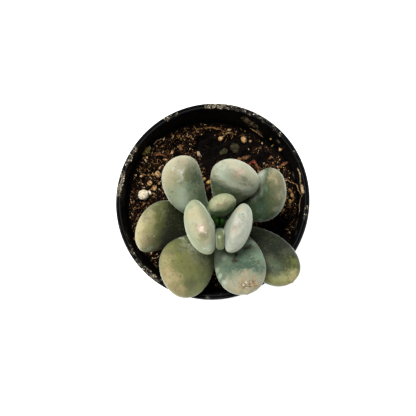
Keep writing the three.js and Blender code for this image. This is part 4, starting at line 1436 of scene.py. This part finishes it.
def paint_skin(skin, look, mesh):
    """Wax over the flesh, thicker towards the end of the leaf, then its marks, then fine flecks."""
    cloud = skin.speckle(3.5 * MM, detail=5.0, coarseness=0.6, warp=0.4)
    fine = skin.speckle(0.9 * MM, detail=4.0, coarseness=0.7)
    flecks = skin.speckle(0.45 * MM, detail=2.0, shift=0.5)
    setting_in = skin.attribute("along") + (cloud - 0.5) * CLOUDED + (fine - 0.5) * BROKEN
    # The wax sets in late near the stem, so the leaf is darker towards it: partly its barer green flesh, and
    # partly painted shade between the leaves.
    skin.coat(look["wax"], skin.ramp(setting_in, *look["waxed"]), 0.55)
    skin.coat(look["ripe"], skin.ramp(setting_in, *look["ripens"]), 0.6)
    rubbed = skin.speckle(2.2 * MM, detail=6.0, coarseness=0.7, warp=0.8, shift=0.2)
    skin.coat(look["flesh"], skin.ramp(rubbed, 0.50, 0.68, 0, 0.4))
    height = cloud * 0.5 + fine * 0.15
    wander = skin.wander(3.0 * MM, 0.9 * MM)
    for kind, share, turn, size in look["marks"]:
        colour, cover, ragged, roughness = MARKS[kind]
        mark = skin.patch(place_on(mesh, share, turn), size * MM, wander, ragged)
        if kind == "rind":
            mark = mark * skin.ramp(flecks, 0.44, 0.56)
        elif size > SMALL_MARK:
            mark = mark * skin.ramp(fine, 0.30, 0.60, 1 - ragged * MOTTLING, 1.0)
        skin.coat(colour, mark * cover, roughness)
        if kind in ("cork", "rind"):
            height = height + mark * flecks * CORK_HEIGHT
    skin.coat(look["ripe"], skin.ramp(fine, 0.52, 0.70, 0, 0.35))
    skin.coat(DARK_FLECKS, skin.ramp(flecks + cloud * 0.5, 0.84, 0.98, 0, 0.30))
    skin.relief(height, 0.25 * MM, 0.8)
    return skin.done()


for name, leaf in LEAVES.items():
    height = leaf["height"] * MM
    seat = beside_stem(height, leaf["direction"] + leaf["seat"], stem_radius(height) + LEAF_SEAT)
    look = LOOKS[name]
    skin = Finish("waxy skin of " + name, look["flesh"], 0.5, **WAXY)
    grown_leaf = grown("waxy_" + name, fleshy_leaf, leaf_inputs(leaf, seat, skin.material))
    sculpt(grown_leaf.data, look["swellings"])
    paint_skin(skin, look, grown_leaf.data)
    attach(grown_leaf, "root")
    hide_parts(name)
    "inner_leaf" if name in INNER_LEAVES else "leaf"

# Studio
# A plain white floor that glows a little, under soft light that comes mostly from beyond the pot, high
# and to the left, and a camera that looks down into the pot as a person who leans over it does.
FRAME_PIXELS = 416
PIXELS_PER_METRE = 3056
RIM_CENTRE_PIXEL = (212.8, 200.1)
VIEW_DISTANCE = 0.4
VIEW_TILT = math.radians(8.5)
SENSOR = 36
FLOOR_SIZE = 6
FLOOR_WHITE = (0.9, 0.9, 0.9)
FLOOR_GLOW = 0.85
KEY_FROM = Vector((-0.38, 0.42, 1.3))
KEY_STRENGTH = 3.4
KEY_SOFTNESS = math.radians(28)
FILL_STRENGTH = 0.35

bpy.ops.mesh.primitive_plane_add(size=FLOOR_SIZE)
floor = bpy.context.object
floor.name = "floor"
floor_white = Finish(
    "white floor", FLOOR_WHITE, 0.9, emission_color=(1, 1, 1, 1), emission_strength=FLOOR_GLOW
)
floor.data.materials.append(floor_white.done())

key = bpy.data.lights.new("key", "SUN")
key.energy = KEY_STRENGTH
key.angle = KEY_SOFTNESS
key_lamp = bpy.data.objects.new("key", key)
key_lamp.rotation_euler = KEY_FROM.to_track_quat("Z", "Y").to_euler()
bpy.context.collection.objects.link(key_lamp)

world = bpy.data.worlds.new("studio")
world.use_nodes = True
world.node_tree.nodes["Background"].inputs["Color"].default_value = (1, 1, 1, 1)
world.node_tree.nodes["Background"].inputs["Strength"].default_value = FILL_STRENGTH
bpy.context.scene.world = world
bpy.context.scene.view_settings.view_transform = "Standard"

right = Vector((1, 0, 0))
up = Vector((0, math.cos(VIEW_TILT), math.sin(VIEW_TILT)))
back = right.cross(up)
middle = FRAME_PIXELS / 2
aim = Vector((0, 0, POT_HEIGHT))
aim += right * (middle - RIM_CENTRE_PIXEL[0]) / PIXELS_PER_METRE
aim += up * (RIM_CENTRE_PIXEL[1] - middle) / PIXELS_PER_METRE
camera_data = bpy.data.cameras.new("camera")
camera_data.sensor_width = SENSOR
camera_data.lens = SENSOR * PIXELS_PER_METRE * VIEW_DISTANCE / FRAME_PIXELS
camera = bpy.data.objects.new("camera", camera_data)
camera.location = aim + back * VIEW_DISTANCE
camera.rotation_euler = (VIEW_TILT, 0, 0)
bpy.context.collection.objects.link(camera)
bpy.context.scene.camera = camera
